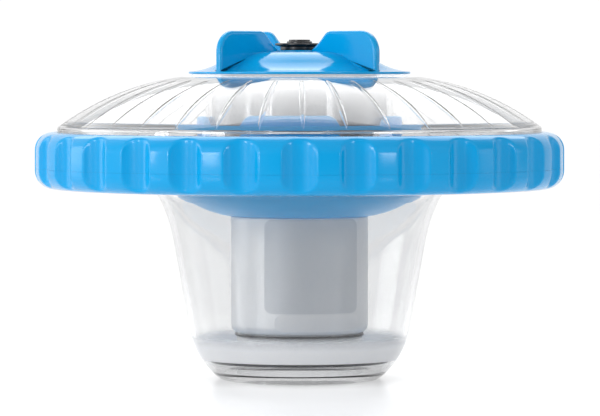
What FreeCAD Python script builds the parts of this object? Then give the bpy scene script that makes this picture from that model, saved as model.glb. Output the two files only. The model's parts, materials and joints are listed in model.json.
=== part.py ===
"""Floating pool light: a clear bowl and dome clamped by a scalloped grip ring, a canister with the
driver and a lamp that shines down, and a winged knob that carries the cells and the push button.

Millimetres, +Z up, origin at the middle of the foot. Radii are measured from the Z axis."""
import FreeCAD
import Part
import Sketcher
import math
import os
from FreeCAD import Placement, Rotation, Vector
from types import SimpleNamespace

DRIVING_SIZES = [
    # Clear bowl, the lower shell
    ("foot_radius", 33.0),
    ("foot_ring_width", 6.3),
    ("foot_recess", 1.2),
    ("bowl_wall", 2.4),
    ("bowl_corner_radius", 46.6),
    ("bowl_corner_height", 22.0),
    ("bowl_corner_arc", 33.0),
    ("bowl_neck_radius", 53.0),
    ("bowl_neck_drop", 26.7),
    ("bowl_bend_radius", 58.5),
    ("bowl_bend_drop", 9.5),
    ("bowl_bend_arc", 68.0),
    ("bowl_flare_radius", 67.5),
    ("bowl_flare_drop", 3.3),
    ("bowl_flare_arc", 11.0),
    ("bowl_depth", 84.7),
    ("flange_thickness", 2.8),
    # Seal between the shells
    ("seal_thickness", 2.6),
    ("seal_width", 4.0),
    ("seal_inset", 2.2),
    # Clear dome, the upper shell
    ("dome_radius", 101.6),
    ("dome_wall", 2.2),
    ("dome_rise", 37.9),
    ("dome_skirt", 15.3),
    ("dome_edge_arc", 2.6),
    ("dome_arc", 112.0),
    ("flange_width", 3.0),
    ("dome_land", 1.4),
    ("dome_step", 0.8),
    ("neck_gap", 0.7),
    ("neck_wall", 2.0),
    ("flute_count", 36.0),
    ("flute_depth", 0.45),
    ("flute_width", 2.6),
    ("flute_bend", 136.0),
    # Grip ring, clamped round both flanges
    ("ring_wall", 6.0),
    ("ring_drop", 8.5),
    ("ring_rise", 15.0),
    ("ring_corner", 7.5),
    ("ring_lip", 2.5),
    ("ring_lip_width", 1.0),
    ("flange_gap", 0.4),
    ("scallop_count", 30.0),
    ("scallop_depth", 3.5),
    ("scallop_arc", 9.26),
    # Carrier, the coloured bucket with its collar of clips
    ("carrier_wall", 2.2),
    ("carrier_floor_radius", 50.0),
    ("carrier_floor_rise", 6.0),
    ("carrier_floor_arc", 60.0),
    ("carrier_rim_radius", 52.5),
    ("carrier_height", 33.0),
    ("seat_thickness", 4.5),
    ("seat_width", 9.0),
    ("clip_height", 8.0),
    ("clip_thickness", 3.2),
    ("clip_gap_angle", 33.0),
    ("clip_angle", -6.0),
    ("clip_corner", 5.0),
    ("post_radius", 3.3),
    ("post_reach", 3.9),
    ("neck_boss_height", 7.5),
    ("carrier_screw_radius", 1.3),
    ("carrier_screw_head", 2.6),
    ("carrier_screw_reach", 6.0),
    ("neck_seat_drop", 30.0),
    ("neck_seat_width", 1.5),
    ("bead_drop", 5.5),
    ("bead_height", 1.6),
    ("bead_depth", 0.8),
    ("seat_rim", 0.7),
    ("seat_rim_width", 1.6),
    # Battery housing, the sleeve inside the neck
    ("housing_wall", 2.2),
    ("housing_floor", 1.8),
    ("housing_rim_drop", 1.5),
    # Driver canister
    ("canister_radius", 28.8),
    ("canister_wall", 1.8),
    ("canister_corner", 4.0),
    ("canister_shoulder", 1.2),
    ("boss_radius", 3.4),
    ("boss_length", 12.0),
    ("boss_circle", 24.0),
    ("housing_screw_radius", 1.45),
    ("housing_screw_head", 2.8),
    ("housing_screw_length", 9.0),
    ("screw_head_height", 1.6),
    ("label_drop", 1.5),
    ("label_width", 39.0),
    ("label_angle", 12.5),
    ("label_corner", 3.0),
    ("label_gap", 0.6),
    ("strip_lift", 2.1),
    ("strip_height", 6.8),
    ("strip_width", 36.2),
    ("strip_angle", 18.0),
    ("sticker_thickness", 0.15),
    # Lamp at the bottom
    ("reflector_lift", 9.3),
    ("reflector_height", 10.4),
    ("reflector_gap", 0.4),
    ("reflector_edge", 1.2),
    ("pad_thickness", 1.2),
    ("pad_width", 2.2),
    ("led_board_radius", 10.0),
    ("led_board_thickness", 1.6),
    ("led_base_radius", 3.5),
    ("led_base_thickness", 0.9),
    ("led_dome_radius", 2.6),
    # Driver inside the canister
    ("heat_sink_radius", 21.0),
    ("heat_sink_thickness", 5.0),
    ("standoff_height", 14.0),
    ("standoff_radius", 2.2),
    ("standoff_circle", 16.0),
    ("driver_board_thickness", 1.6),
    ("inductor_radius", 6.0),
    ("inductor_height", 8.0),
    ("capacitor_radius", 5.0),
    ("capacitor_height", 13.0),
    ("wire_radius", 0.8),
    # Cells and their cassette under the knob
    ("cell_radius", 12.9),
    ("cell_length", 49.2),
    ("cell_gap", 0.4),
    ("cell_room", 0.77),
    ("cassette_radius", 29.5),
    ("cassette_top", 1.4),
    ("cassette_base", 1.6),
    ("cassette_drop", 3.7),
    ("cassette_column", 4.5),
    ("pillar_radius", 2.6),
    ("pillar_circle", 26.5),
    ("cassette_screw_radius", 1.2),
    ("cassette_screw_head", 2.2),
    ("cell_nub_radius", 3.2),
    ("cell_nub_height", 1.5),
    ("cell_contact", 0.5),
    ("contact_strip_width", 8.0),
    ("spring_gap", 1.7),
    ("spring_radius", 1.5),
    ("inner_track", 5.5),
    ("outer_track", 12.6),
    ("track_width", 3.4),
    ("contact_thickness", 0.5),
    # Knob
    ("knob_radius", 46.6),
    ("knob_rim", 1.1),
    ("knob_rise", 9.4),
    ("knob_plateau", 19.0),
    ("bell_inset", 0.9),
    ("bell_rise", 4.9),
    ("bell_crown_arc", 22.5),
    ("bell_foot_arc", 30.0),
    ("knob_wall", 2.4),
    ("wing_rise", 18.0),
    ("wing_thickness", 3.0),
    ("wing_offset", 3.5),
    ("wing_yaw", 3.0),
    ("wing_corner", 8.8),
    ("wing_inner_radius", 11.0),
    ("wing_top_start", 21.5),
    ("wing_crest_arc", 5.0),
    ("wing_edge", 1.0),
    ("skirt_wall", 2.2),
    ("skirt_length", 16.0),
    ("thread_gap", 0.2),
    ("gasket_gap", 0.1),
    ("gasket_thickness", 0.8),
    ("gasket_width", 6.0),
    ("o_ring_width", 1.6),
    # Push button
    ("bezel_radius", 10.3),
    ("bezel_neck", 8.1),
    ("bezel_lift", 1.6),
    ("bezel_flange", 1.4),
    ("button_seat_radius", 11.0),
    ("button_seat_lift", 0.6),
    ("button_radius", 5.3),
    ("button_top_radius", 4.5),
    ("button_lift", 0.8),
    ("button_top_lift", 0.7),
    ("button_travel", 1.5),
    ("button_gap", 0.08),
    ("switch_side", 6.0),
    ("switch_height", 2.4),
    ("plunger_height", 0.7),
    ("plunger_radius", 1.7),
    ("switch_board_radius", 11.0),
    ("switch_board_thickness", 1.2),
    ("switch_post_radius", 1.5),
    ("switch_post_circle", 9.4),
    # Clearances between pieces that stay together
    ("fit_gap", 0.1),
    ("loose_gap", 0.3),
]

doc = FreeCAD.newDocument("pool_light")


class Size:
    """A length that knows its number and the expression that gives it."""

    def __init__(self, value, text):
        self.value = value
        self.text = text

    def with_other(self, sign, other, value):
        text = "(%s %s %s)" % (self.text, sign, text_of(other))
        return Size(value, text)

    def __add__(self, other):
        return self.with_other("+", other, self.value + number(other))

    def __sub__(self, other):
        return self.with_other("-", other, self.value - number(other))

    def __mul__(self, other):
        return self.with_other("*", other, self.value * number(other))

    def __truediv__(self, other):
        return self.with_other("/", other, self.value / number(other))

    def __neg__(self):
        return Size(-self.value, "(-%s)" % self.text)

    def root(self):
        return Size(math.sqrt(self.value), "sqrt(%s)" % self.text)


def number(size):
    return size.value if isinstance(size, Size) else float(size)


def text_of(size):
    return size.text if isinstance(size, Size) else "%.15g" % size


def size_sheet():
    """Puts the driving sizes in a spreadsheet and returns each of them as a Size."""
    sheet = doc.addObject("Spreadsheet::Sheet", "sizes")
    found = {}
    for row, (alias, value) in enumerate(DRIVING_SIZES, start=1):
        cell = "A%d" % row
        sheet.set(cell, str(value))
        sheet.setAlias(cell, alias)
        found[alias] = Size(value, "sizes." + alias)
    doc.recompute()
    return SimpleNamespace(**found)


d = size_sheet()


# ---------------------------------------------------------------- sketches and features


def new_body(label, many=False):
    body = doc.addObject("PartDesign::Body", label)
    body.Label = label
    body.AllowCompound = many
    return body


def origin_part(body, role):
    return next(part for part in body.Origin.OriginFeatures if part.Role == role)


def bind(thing, name, size):
    """Binds a property to its expression, where the size has one."""
    if isinstance(size, Size):
        thing.setExpression(name, size.text)


def new_sketch(body, plane="XZ_Plane", lift=0, turn=0, shift=0):
    """A sketch on a plane of its own body: lifted off XY, or turned about Z and shifted off XZ."""
    sketch = body.newObject("Sketcher::SketchObject", body.Label + "_sketch")
    sketch.AttachmentSupport = (origin_part(body, plane), [""])
    sketch.MapMode = "FlatFace"
    if plane == "XY_Plane":
        spin = Rotation(Vector(0, 0, 1), number(turn))
        sketch.AttachmentOffset = Placement(Vector(0, 0, number(lift)), spin)
        bind(sketch, "AttachmentOffset.Base.z", lift)
    elif number(turn) or number(shift):
        spin = Rotation(Vector(0, 1, 0), number(turn))
        sideways = spin.multVec(Vector(0, 0, number(shift)))
        sketch.AttachmentOffset = Placement(sideways, spin)
    return sketch


def pin_point(sketch, side, end, x, y):
    """Fixes a point of the sketch at x, y, each a Size or a number."""
    for axis, size, kind in ((-2, x, "DistanceX"), (-1, y, "DistanceY")):
        if not isinstance(size, Size) and size == 0:
            sketch.addConstraint(Sketcher.Constraint("PointOnObject", side, end, axis))
            continue
        index = sketch.addConstraint(Sketcher.Constraint(kind, -1, 1, side, end, number(size)))
        bind(sketch, "Constraints[%d]" % index, size)


def arc_between(start, end, radius):
    """The short arc from start to end, turning left when the radius is positive."""
    chord = end - start
    half = chord.Length / 2
    sagitta = abs(radius) - math.sqrt(radius * radius - half * half)
    right = Vector(chord.y, -chord.x, 0).normalize()
    middle = (start + end) * 0.5 + right * math.copysign(sagitta, radius)
    return Part.Arc(start, middle, end)


def draw_outline(sketch, corners, arcs=None):
    """A closed outline through the corners; arcs gives the radius of a side by the corner it leaves."""
    arcs = arcs or {}
    points = [Vector(number(x), number(y), 0) for x, y in corners]
    first = sketch.GeometryCount
    ends = []
    for side, start in enumerate(points):
        end = points[(side + 1) % len(points)]
        if side in arcs:
            sketch.addGeometry(arc_between(start, end, number(arcs[side])), False)
        else:
            sketch.addGeometry(Part.LineSegment(start, end), False)
        begins = (sketch.getPoint(first + side, 1) - start).Length < 1e-6
        ends.append((1, 2) if begins else (2, 1))
    for side in range(len(points)):
        after = (side + 1) % len(points)
        joint = ("Coincident", first + side, ends[side][1], first + after, ends[after][0])
        sketch.addConstraint(Sketcher.Constraint(*joint))
    for side, (x, y) in enumerate(corners):
        pin_point(sketch, first + side, ends[side][0], x, y)
    for side, radius in arcs.items():
        length = -radius if number(radius) < 0 else radius
        index = sketch.addConstraint(Sketcher.Constraint("Radius", first + side, number(length)))
        bind(sketch, "Constraints[%d]" % index, length)


def draw_circle(sketch, x, y, radius):
    centre = Vector(number(x), number(y), 0)
    side = sketch.addGeometry(Part.Circle(centre, Vector(0, 0, 1), number(radius)), False)
    pin_point(sketch, side, 3, x, y)
    index = sketch.addConstraint(Sketcher.Constraint("Radius", side, number(radius)))
    bind(sketch, "Constraints[%d]" % index, radius)


def polar_point(radius, degrees):
    """A point at a radius and an angle; a share that is nothing is a plain 0."""
    shares = (math.cos(math.radians(degrees)), math.sin(math.radians(degrees)))
    return [0 if abs(share) < 1e-9 else radius * round(share, 9) for share in shares]


def check_change(body, before, feature, cuts):
    """A feature has to add or take away material, as it was meant to."""
    change = body.Shape.Volume - before
    if (change >= -1e-6) if cuts else (change <= 1e-6):
        raise RuntimeError("%s changed %s by %.4f" % (feature.Name, body.Label, change))


def volume(body):
    return 0.0 if body.Shape.isNull() else body.Shape.Volume


def revolve(body, corners, arcs=None, cuts=False, angle=None):
    """Turns an outline of radius and height about Z."""
    before = volume(body)
    sketch = new_sketch(body)
    draw_outline(sketch, corners, arcs)
    kind = "Groove" if cuts else "Revolution"
    feature = body.newObject("PartDesign::" + kind, body.Label + "_turned")
    feature.Profile = sketch
    feature.ReferenceAxis = (sketch, ["V_Axis"])
    feature.Angle = 360
    if angle is not None:
        feature.Midplane = True
        feature.Angle = number(angle)
        bind(feature, "Angle", angle)
    doc.recompute()
    check_change(body, before, feature, cuts)
    return feature


def extrude(body, sketch, length, cuts=False, upwards=True, both_ways=False):
    """Pads or pockets a sketch; from an XY sketch both go up, unless upwards is False."""
    before = volume(body)
    feature = body.newObject("PartDesign::" + ("Pocket" if cuts else "Pad"), body.Label + "_block")
    feature.Profile = sketch
    feature.Length = number(length)
    bind(feature, "Length", length)
    feature.Reversed = upwards == cuts
    if both_ways:
        feature.Reversed = False
        feature.Midplane = True
    doc.recompute()
    check_change(body, before, feature, cuts)
    return feature


def rounds(body, places, radius, base, length, cuts=False):
    """Upright round posts, or holes, at a list of x and y places."""
    sketch = new_sketch(body, "XY_Plane", base)
    for x, y in places:
        draw_circle(sketch, x, y, radius)
    return extrude(body, sketch, length, cuts)


def repeat(body, feature, count):
    """Copies a feature round the Z axis."""
    before = volume(body)
    pattern = body.newObject("PartDesign::PolarPattern", body.Label + "_round")
    pattern.Originals = [feature]
    pattern.Axis = (origin_part(body, "Z_Axis"), [""])
    pattern.Angle = 360
    pattern.Occurrences = int(number(count))
    bind(pattern, "Occurrences", count)
    body.Tip = pattern
    doc.recompute()
    if abs(body.Shape.Volume - before) < 1e-6:
        raise RuntimeError("the pattern of %s copied nothing" % body.Label)
    return pattern


def round_edges(body, wanted, radius):
    """Rounds the edges of the body's last shape that the test picks."""
    feature = body.Tip
    names = ["Edge%d" % (n + 1) for n, edge in enumerate(feature.Shape.Edges) if wanted(edge)]
    fillet = body.newObject("PartDesign::Fillet", body.Label + "_fillet")
    fillet.Base = (feature, names)
    fillet.Radius = number(radius)
    bind(fillet, "Radius", radius)
    doc.recompute()
    return fillet


def place(body, x=0, y=0, z=0, turn=0):
    """Places a body made round its own axis."""
    at = Vector(number(x), number(y), number(z))
    body.Placement = Placement(at, Rotation(Vector(0, 0, 1), number(turn)))
    for name, size in (("x", x), ("y", y), ("z", z)):
        bind(body, "Placement.Base." + name, size)


# ---------------------------------------------------------------- heights and shared curves

QUARTERS = [0, 90, 180, 270]
DIAGONALS = [45, 135, 225, 315]
FRONT = -90
DOME_EDGE_ANGLE = 36.0
DOME_CROWN_ANGLE = 6.0
BOWL_BEND_ANGLE = 64.5
BOWL_FLARE_ANGLE = 5.4
WING_CREST_ANGLE = 50
WING_FOOT_ANGLE = 33

cell_spacing = d.cell_radius * 2 + d.cell_gap
skirt_radius = cell_spacing / math.sqrt(2) + d.cell_radius + d.cell_room + d.skirt_wall
bell_radius = skirt_radius - d.bell_inset
housing_radius = skirt_radius + d.thread_gap + d.housing_wall
neck_radius = housing_radius + d.neck_gap + d.neck_wall
post_circle = neck_radius + d.post_reach
dome_land_radius = d.knob_radius + d.dome_land
flange_radius = d.dome_radius + d.flange_width
flange_bore = flange_radius + d.flange_gap
ring_bore = d.dome_radius + d.flange_gap
ring_radius = flange_bore + d.ring_wall
seal_radius = flange_radius - d.seal_inset

flange_top = d.bowl_depth + d.flange_thickness
seam = flange_top + d.seal_thickness / 2
dome_flange = flange_top + d.seal_thickness
dome_flange_top = dome_flange + d.flange_thickness
dome_skirt_top = dome_flange + d.dome_skirt
dome_top = dome_flange + d.dome_rise
dome_roof = dome_top - d.dome_step
ring_low = seam - d.ring_drop
ring_high = seam + d.ring_rise

plate_top = dome_top + d.cassette_drop
cell_top = plate_top - d.cassette_top - d.cell_contact
cell_foot = cell_top - d.cell_length
base_top = cell_foot - d.cell_contact
base_foot = base_top - d.cassette_base
contact_top = base_foot - d.spring_gap
floor_top = contact_top - d.contact_thickness
seat_top = floor_top - d.housing_floor
canister_top = seat_top - d.seat_thickness
carrier_rim = canister_top + d.carrier_height
clip_top = carrier_rim + d.clip_height
neck_foot = dome_top - d.neck_seat_drop
bead_top = clip_top - d.bead_drop
bead_foot = bead_top - d.bead_height
housing_rim = dome_top - d.housing_rim_drop
screw_seat = canister_top + d.carrier_floor_rise + d.carrier_wall

canister_foot = d.reflector_lift + d.reflector_height
canister_floor = canister_foot + d.canister_wall
strip_foot = canister_foot + d.strip_lift
strip_top = strip_foot + d.strip_height
heat_sink_top = canister_floor + d.heat_sink_thickness
board_foot = heat_sink_top + d.standoff_height
board_top = board_foot + d.driver_board_thickness

plateau = dome_top + d.knob_rise
plateau_inside = plateau - d.knob_wall
knob_underside = dome_top + d.gasket_thickness + d.gasket_gap
button_seat = plateau + d.button_seat_lift
bezel_foot = button_seat + d.bezel_lift
bezel_top = bezel_foot + d.bezel_flange
plunger_top = button_seat - d.button_travel - d.fit_gap * 2
switch_top = plunger_top - d.plunger_height
switch_board_top = switch_top - d.switch_height
switch_post_length = plateau_inside - switch_board_top


def share(size, degrees):
    """How much of a length at an angle runs outwards, and how much upwards."""
    outwards = math.sin(math.radians(degrees))
    upwards = math.cos(math.radians(degrees))
    return size * outwards, size * upwards


def corner_centre():
    """The centre of the arc that turns the foot of the bowl into its side."""
    run = d.bowl_corner_radius - d.foot_radius
    rise = d.bowl_corner_height
    chord = (run * run + rise * rise).root()
    apothem = (d.bowl_corner_arc * d.bowl_corner_arc - chord * chord / 4).root()
    middle = (d.foot_radius + d.bowl_corner_radius) / 2
    return middle - rise / chord * apothem, rise / 2 + run / chord * apothem


corner_x, corner_z = corner_centre()


def bowl_inside(height, gap):
    """The radius that stays a gap inside the rounded corner of the bowl at a height."""
    reach = d.bowl_corner_arc - d.bowl_wall - gap
    above = height - corner_z
    return corner_x + (reach * reach - above * above).root()


# ---------------------------------------------------------------- clear shells and grip ring


def clear_bowl():
    """Lower shell: foot ring, rounded corner, drafted side, trumpet flare and flange."""
    body = new_body("clear_bowl")
    neck = d.bowl_depth - d.bowl_neck_drop
    bend = d.bowl_depth - d.bowl_bend_drop
    flare = d.bowl_depth - d.bowl_flare_drop
    floor = d.foot_recess + d.bowl_wall
    bend_out, bend_up = share(d.bowl_wall, BOWL_BEND_ANGLE)
    flare_out, flare_up = share(d.bowl_wall, BOWL_FLARE_ANGLE)
    recess = d.foot_radius - d.foot_ring_width
    seal_inside = seal_radius - d.seal_width
    corners = [
        (0, d.foot_recess),
        (recess - d.foot_recess, d.foot_recess),
        (recess, 0),
        (d.foot_radius, 0),
        (d.bowl_corner_radius, d.bowl_corner_height),
        (d.bowl_neck_radius, neck),
        (d.bowl_bend_radius, bend),
        (d.bowl_flare_radius, flare),
        (ring_bore, d.bowl_depth),
        (flange_radius, d.bowl_depth),
        (flange_radius, flange_top),
        (seal_inside - d.bowl_wall, flange_top),
        (d.bowl_flare_radius - flare_out, flare + flare_up),
        (d.bowl_bend_radius - bend_out, bend + bend_up),
        (d.bowl_neck_radius - d.bowl_wall, neck),
        (bowl_inside(d.bowl_corner_height, 0), d.bowl_corner_height),
        (bowl_inside(floor, 0), floor),
        (0, floor),
    ]
    arcs = {
        3: d.bowl_corner_arc,
        5: -d.bowl_bend_arc,
        6: -d.bowl_flare_arc,
        12: d.bowl_flare_arc + d.bowl_wall,
        13: d.bowl_bend_arc + d.bowl_wall,
        15: d.bowl_wall - d.bowl_corner_arc,
    }
    revolve(body, corners, arcs)
    return body


def clear_dome():
    """Upper shell: neck with its bead, flat land a step above the crowned roof, skirt and flange."""
    body = new_body("clear_dome")
    edge_out, edge_up = share(d.dome_edge_arc, DOME_EDGE_ANGLE)
    wall_out, wall_up = share(d.dome_wall, DOME_EDGE_ANGLE)
    crown_out, crown_up = share(d.dome_wall, DOME_CROWN_ANGLE)
    edge_centre = d.dome_radius - d.dome_edge_arc
    roof_end = edge_centre + edge_out
    roof_low = dome_skirt_top + edge_up
    corners = [
        (neck_radius - d.neck_wall, neck_foot),
        (neck_radius, neck_foot),
        (neck_radius, bead_foot),
        (neck_radius + d.bead_depth, bead_foot),
        (neck_radius + d.bead_depth, bead_top),
        (neck_radius, bead_top),
        (neck_radius, dome_roof - crown_up),
        (dome_land_radius - crown_out, dome_roof - crown_up),
        (roof_end - wall_out, roof_low - wall_up),
        (d.dome_radius - d.dome_wall, dome_skirt_top),
        (d.dome_radius - d.dome_wall, dome_flange),
        (flange_radius, dome_flange),
        (flange_radius, dome_flange_top),
        (d.dome_radius, dome_flange_top),
        (d.dome_radius, dome_skirt_top),
        (roof_end, roof_low),
        (dome_land_radius, dome_roof),
        (dome_land_radius, dome_top),
        (neck_radius - d.neck_wall, dome_top),
    ]
    arcs = {
        7: d.dome_wall - d.dome_arc,
        8: d.dome_wall - d.dome_edge_arc,
        14: d.dome_edge_arc,
        15: d.dome_arc,
    }
    revolve(body, corners, arcs)
    add_neck_bosses(body)
    cut_flutes(body, roof_end, roof_low)
    return body


def add_neck_bosses(body):
    """Four bosses at the foot of the neck for the carrier's screws."""
    places = screw_places(post_circle, gap_angles())
    rounds(body, places, d.post_radius, neck_foot, d.neck_boss_height)
    rounds(body, places, d.carrier_screw_radius, neck_foot, d.carrier_screw_reach, cuts=True)


def cut_flutes(body, roof_end, roof_low):
    """Leaf-shaped hollows that fade out at both ends, cut by a ring flatter than the roof's arc."""
    run = roof_end - dome_land_radius
    rise = roof_low - dome_roof
    chord = (run * run + rise * rise).root()
    apothem = (d.dome_arc * d.dome_arc - chord * chord / 4).root()
    half_width = d.flute_width / 2
    minor = (half_width * half_width + d.flute_depth * d.flute_depth) / (d.flute_depth * 2)
    lift = d.dome_arc - apothem + minor - d.flute_depth - d.flute_bend
    middle_x = (roof_end + dome_land_radius) / 2 - rise / chord * lift
    middle_z = (roof_low + dome_roof) / 2 + run / chord * lift
    slope = math.degrees(math.atan2(number(rise), number(run)))
    sweep = 2 * math.degrees(number(chord) / number(d.flute_bend) / 2)
    before = volume(body)
    ring = body.newObject("PartDesign::SubtractiveTorus", "flute_cutter")
    ring.AttachmentSupport = (origin_part(body, "XZ_Plane"), [""])
    ring.MapMode = "FlatFace"
    start = Rotation(Vector(0, 0, 1), 90 + slope - sweep / 2)
    ring.AttachmentOffset = Placement(Vector(number(middle_x), number(middle_z), 0), start)
    bind(ring, "AttachmentOffset.Base.x", middle_x)
    bind(ring, "AttachmentOffset.Base.y", middle_z)
    ring.Radius1 = number(d.flute_bend)
    bind(ring, "Radius1", d.flute_bend)
    ring.Radius2 = number(minor)
    bind(ring, "Radius2", minor)
    ring.Angle3 = sweep
    doc.recompute()
    check_change(body, before, ring, True)
    repeat(body, ring, d.flute_count)


def shell_seal():
    """Flat gasket that the two flanges squeeze."""
    body = new_body("shell_seal")
    inside = seal_radius - d.seal_width
    corners = [
        (inside, flange_top),
        (seal_radius, flange_top),
        (seal_radius, dome_flange),
        (inside, dome_flange),
    ]
    revolve(body, corners)
    return body


def cut_scallops(body, low, height):
    """Finger hollows round the outside of the grip ring, one of them straight ahead."""
    sketch = new_sketch(body, "XY_Plane", low)
    reach = ring_radius - d.scallop_depth + d.scallop_arc
    draw_circle(sketch, 0, -reach, d.scallop_arc)
    hollow = extrude(body, sketch, height, cuts=True)
    repeat(body, hollow, d.scallop_count)


def grip_ring_upper():
    """Upper half of the ring: its lip laps into the lower half, its shoulder holds the dome's flange."""
    body = new_body("grip_ring_upper")
    shoulder = dome_flange_top + d.fit_gap
    lip = seam - d.ring_lip
    corners = [
        (flange_bore, lip),
        (flange_bore + d.ring_lip_width, lip),
        (flange_bore + d.ring_lip_width, seam),
        (ring_radius, seam),
        (ring_radius, ring_high - d.ring_corner),
        (ring_radius - d.ring_corner, ring_high),
        (ring_bore, ring_high),
        (ring_bore, shoulder),
        (flange_bore, shoulder),
    ]
    revolve(body, corners, {4: d.ring_corner})
    cut_scallops(body, seam, d.ring_rise)
    return body


def grip_ring_lower():
    """Lower half of the ring: its ledge holds the bowl's flange."""
    body = new_body("grip_ring_lower")
    rebate = flange_bore + d.ring_lip_width + d.fit_gap
    rebate_foot = seam - d.ring_lip - d.fit_gap
    corners = [
        (ring_bore, ring_low),
        (ring_radius - d.ring_corner, ring_low),
        (ring_radius, ring_low + d.ring_corner),
        (ring_radius, seam),
        (rebate, seam),
        (rebate, rebate_foot),
        (flange_bore, rebate_foot),
        (flange_bore, d.bowl_depth),
        (ring_bore, d.bowl_depth),
    ]
    revolve(body, corners, {1: d.ring_corner})
    cut_scallops(body, ring_low, d.ring_drop)
    return body


# ---------------------------------------------------------------- carrier, housing and canister


def screw_places(circle, angles):
    return [polar_point(circle, angle) for angle in angles]


def carrier():
    """Bucket with a dished floor; the collar inside it stands up as four clips round the neck."""
    body = new_body("carrier")
    bore = d.canister_radius + d.fit_gap
    rim = canister_top - d.seat_rim
    floor_rise = canister_top + d.carrier_floor_rise
    collar = neck_radius + d.loose_gap
    collar_outside = collar + d.clip_thickness
    inside = d.carrier_floor_radius - d.carrier_wall
    corners = [
        (bore - d.seat_width, canister_top),
        (bore, canister_top),
        (bore, rim),
        (bore + d.seat_rim_width, rim),
        (d.carrier_floor_radius, floor_rise),
        (d.carrier_rim_radius, carrier_rim),
        (d.carrier_rim_radius - d.carrier_wall, carrier_rim),
        (inside, floor_rise + d.carrier_wall),
        (collar_outside, floor_rise + d.carrier_wall / 2),
        (collar_outside, clip_top),
        (collar, clip_top),
        (collar, bead_top + d.fit_gap),
        (collar + d.bead_depth, bead_top + d.fit_gap),
        (collar + d.bead_depth, bead_foot - d.fit_gap),
        (collar, bead_foot - d.fit_gap),
        (collar, neck_foot),
        (collar - d.loose_gap - d.neck_seat_width, neck_foot),
        (collar - d.loose_gap - d.neck_seat_width, seat_top),
        (bore - d.seat_width, seat_top),
    ]
    revolve(body, corners, {3: d.carrier_floor_arc})
    cut_clip_gaps(body, collar_outside)
    posts = screw_places(post_circle, gap_angles())
    post_foot = floor_rise - d.carrier_wall / 2
    hole = d.carrier_screw_radius + d.fit_gap
    well = d.carrier_screw_head + d.fit_gap
    rounds(body, posts, d.post_radius, post_foot, neck_foot - post_foot)
    rounds(body, posts, hole, screw_seat, neck_foot - screw_seat, cuts=True)
    rounds(body, posts, well, screw_seat - d.carrier_floor_rise, d.carrier_floor_rise, cuts=True)
    places = screw_places(d.boss_circle, DIAGONALS)
    rounds(body, places, d.housing_screw_radius + d.fit_gap, canister_top, d.seat_thickness, cuts=True)
    return body


def gap_angles():
    """The middles of the gaps between the clips."""
    return [FRONT + number(d.clip_angle) + diagonal for diagonal in DIAGONALS]


def carrier_screws():
    """Four long screws up through the carrier's posts into the bosses on the neck."""
    body = new_body("carrier_screws", many=True)
    places = screw_places(post_circle, gap_angles())
    tip = neck_foot + d.carrier_screw_reach
    rounds(body, places, d.carrier_screw_radius, screw_seat, tip - screw_seat)
    rounds(body, places, d.carrier_screw_head, screw_seat - d.screw_head_height, d.screw_head_height)
    return body


def cut_clip_gaps(body, collar_outside):
    """Wedges cut down to the foot of the neck leave four clips, whose upper corners are rounded."""
    sketch = new_sketch(body, "XY_Plane", neck_foot, turn=gap_angles()[0])
    half = math.tan(math.radians(number(d.clip_gap_angle) / 2))
    inside = neck_radius - d.neck_wall
    reach = collar_outside + d.fit_gap
    corners = [
        (inside, inside * -half),
        (reach, reach * -half),
        (reach, reach * half),
        (inside, inside * half),
    ]
    draw_outline(sketch, corners)
    gap = extrude(body, sketch, clip_top - neck_foot, cuts=True)
    repeat(body, gap, len(QUARTERS))
    round_edges(body, lambda edge: edge_is_level(edge, clip_top) and is_straight(edge), d.clip_corner)


def battery_housing():
    """Sleeve for the cells, closed at the bottom but for the screws and the two leads."""
    body = new_body("battery_housing")
    chamfer = d.housing_wall
    corners = [
        (0, seat_top),
        (housing_radius - chamfer, seat_top),
        (housing_radius, seat_top + chamfer),
        (housing_radius, housing_rim),
        (housing_radius - d.housing_wall, housing_rim),
        (housing_radius - d.housing_wall, floor_top),
        (0, floor_top),
    ]
    revolve(body, corners)
    places = screw_places(d.boss_circle, DIAGONALS)
    rounds(body, places, d.housing_screw_radius + d.fit_gap, seat_top, d.housing_floor, cuts=True)
    rounds(body, lead_places(), d.wire_radius + d.fit_gap, seat_top, d.housing_floor, cuts=True)
    return body


def housing_screws():
    """Four screws that clamp the carrier between the battery housing and the canister."""
    body = new_body("housing_screws", many=True)
    places = screw_places(d.boss_circle, DIAGONALS)
    foot = canister_top - d.housing_screw_length
    rounds(body, places, d.housing_screw_radius, foot, floor_top - foot)
    rounds(body, places, d.housing_screw_head, floor_top, d.screw_head_height)
    crown = floor_top + d.screw_head_height
    round_edges(body, lambda edge: edge_is_level(edge, crown), d.screw_head_height / 2)
    return body


def is_straight(edge):
    return isinstance(edge.Curve, Part.Line)


def edge_is_level(edge, height):
    box = edge.BoundBox
    return abs(box.ZMin - number(height)) < 1e-5 and abs(box.ZMax - number(height)) < 1e-5


def driver_canister():
    """Silver can with a rounded foot, a small shoulder and four screw bosses inside."""
    body = new_body("driver_canister")
    inside = d.canister_radius - d.canister_wall
    corners = [
        (0, canister_foot),
        (d.canister_radius - d.canister_corner, canister_foot),
        (d.canister_radius, canister_foot + d.canister_corner),
        (d.canister_radius, canister_top - d.canister_shoulder),
        (d.canister_radius - d.canister_shoulder, canister_top),
        (inside, canister_top),
        (inside, canister_floor),
        (0, canister_floor),
    ]
    revolve(body, corners, {1: d.canister_corner})
    places = screw_places(d.boss_circle, DIAGONALS)
    boss_foot = canister_top - d.boss_length
    rounds(body, places, d.boss_radius, boss_foot, d.boss_length)
    depth = d.housing_screw_length
    rounds(body, places, d.housing_screw_radius, canister_top - depth, depth, cuts=True)
    return body


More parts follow.
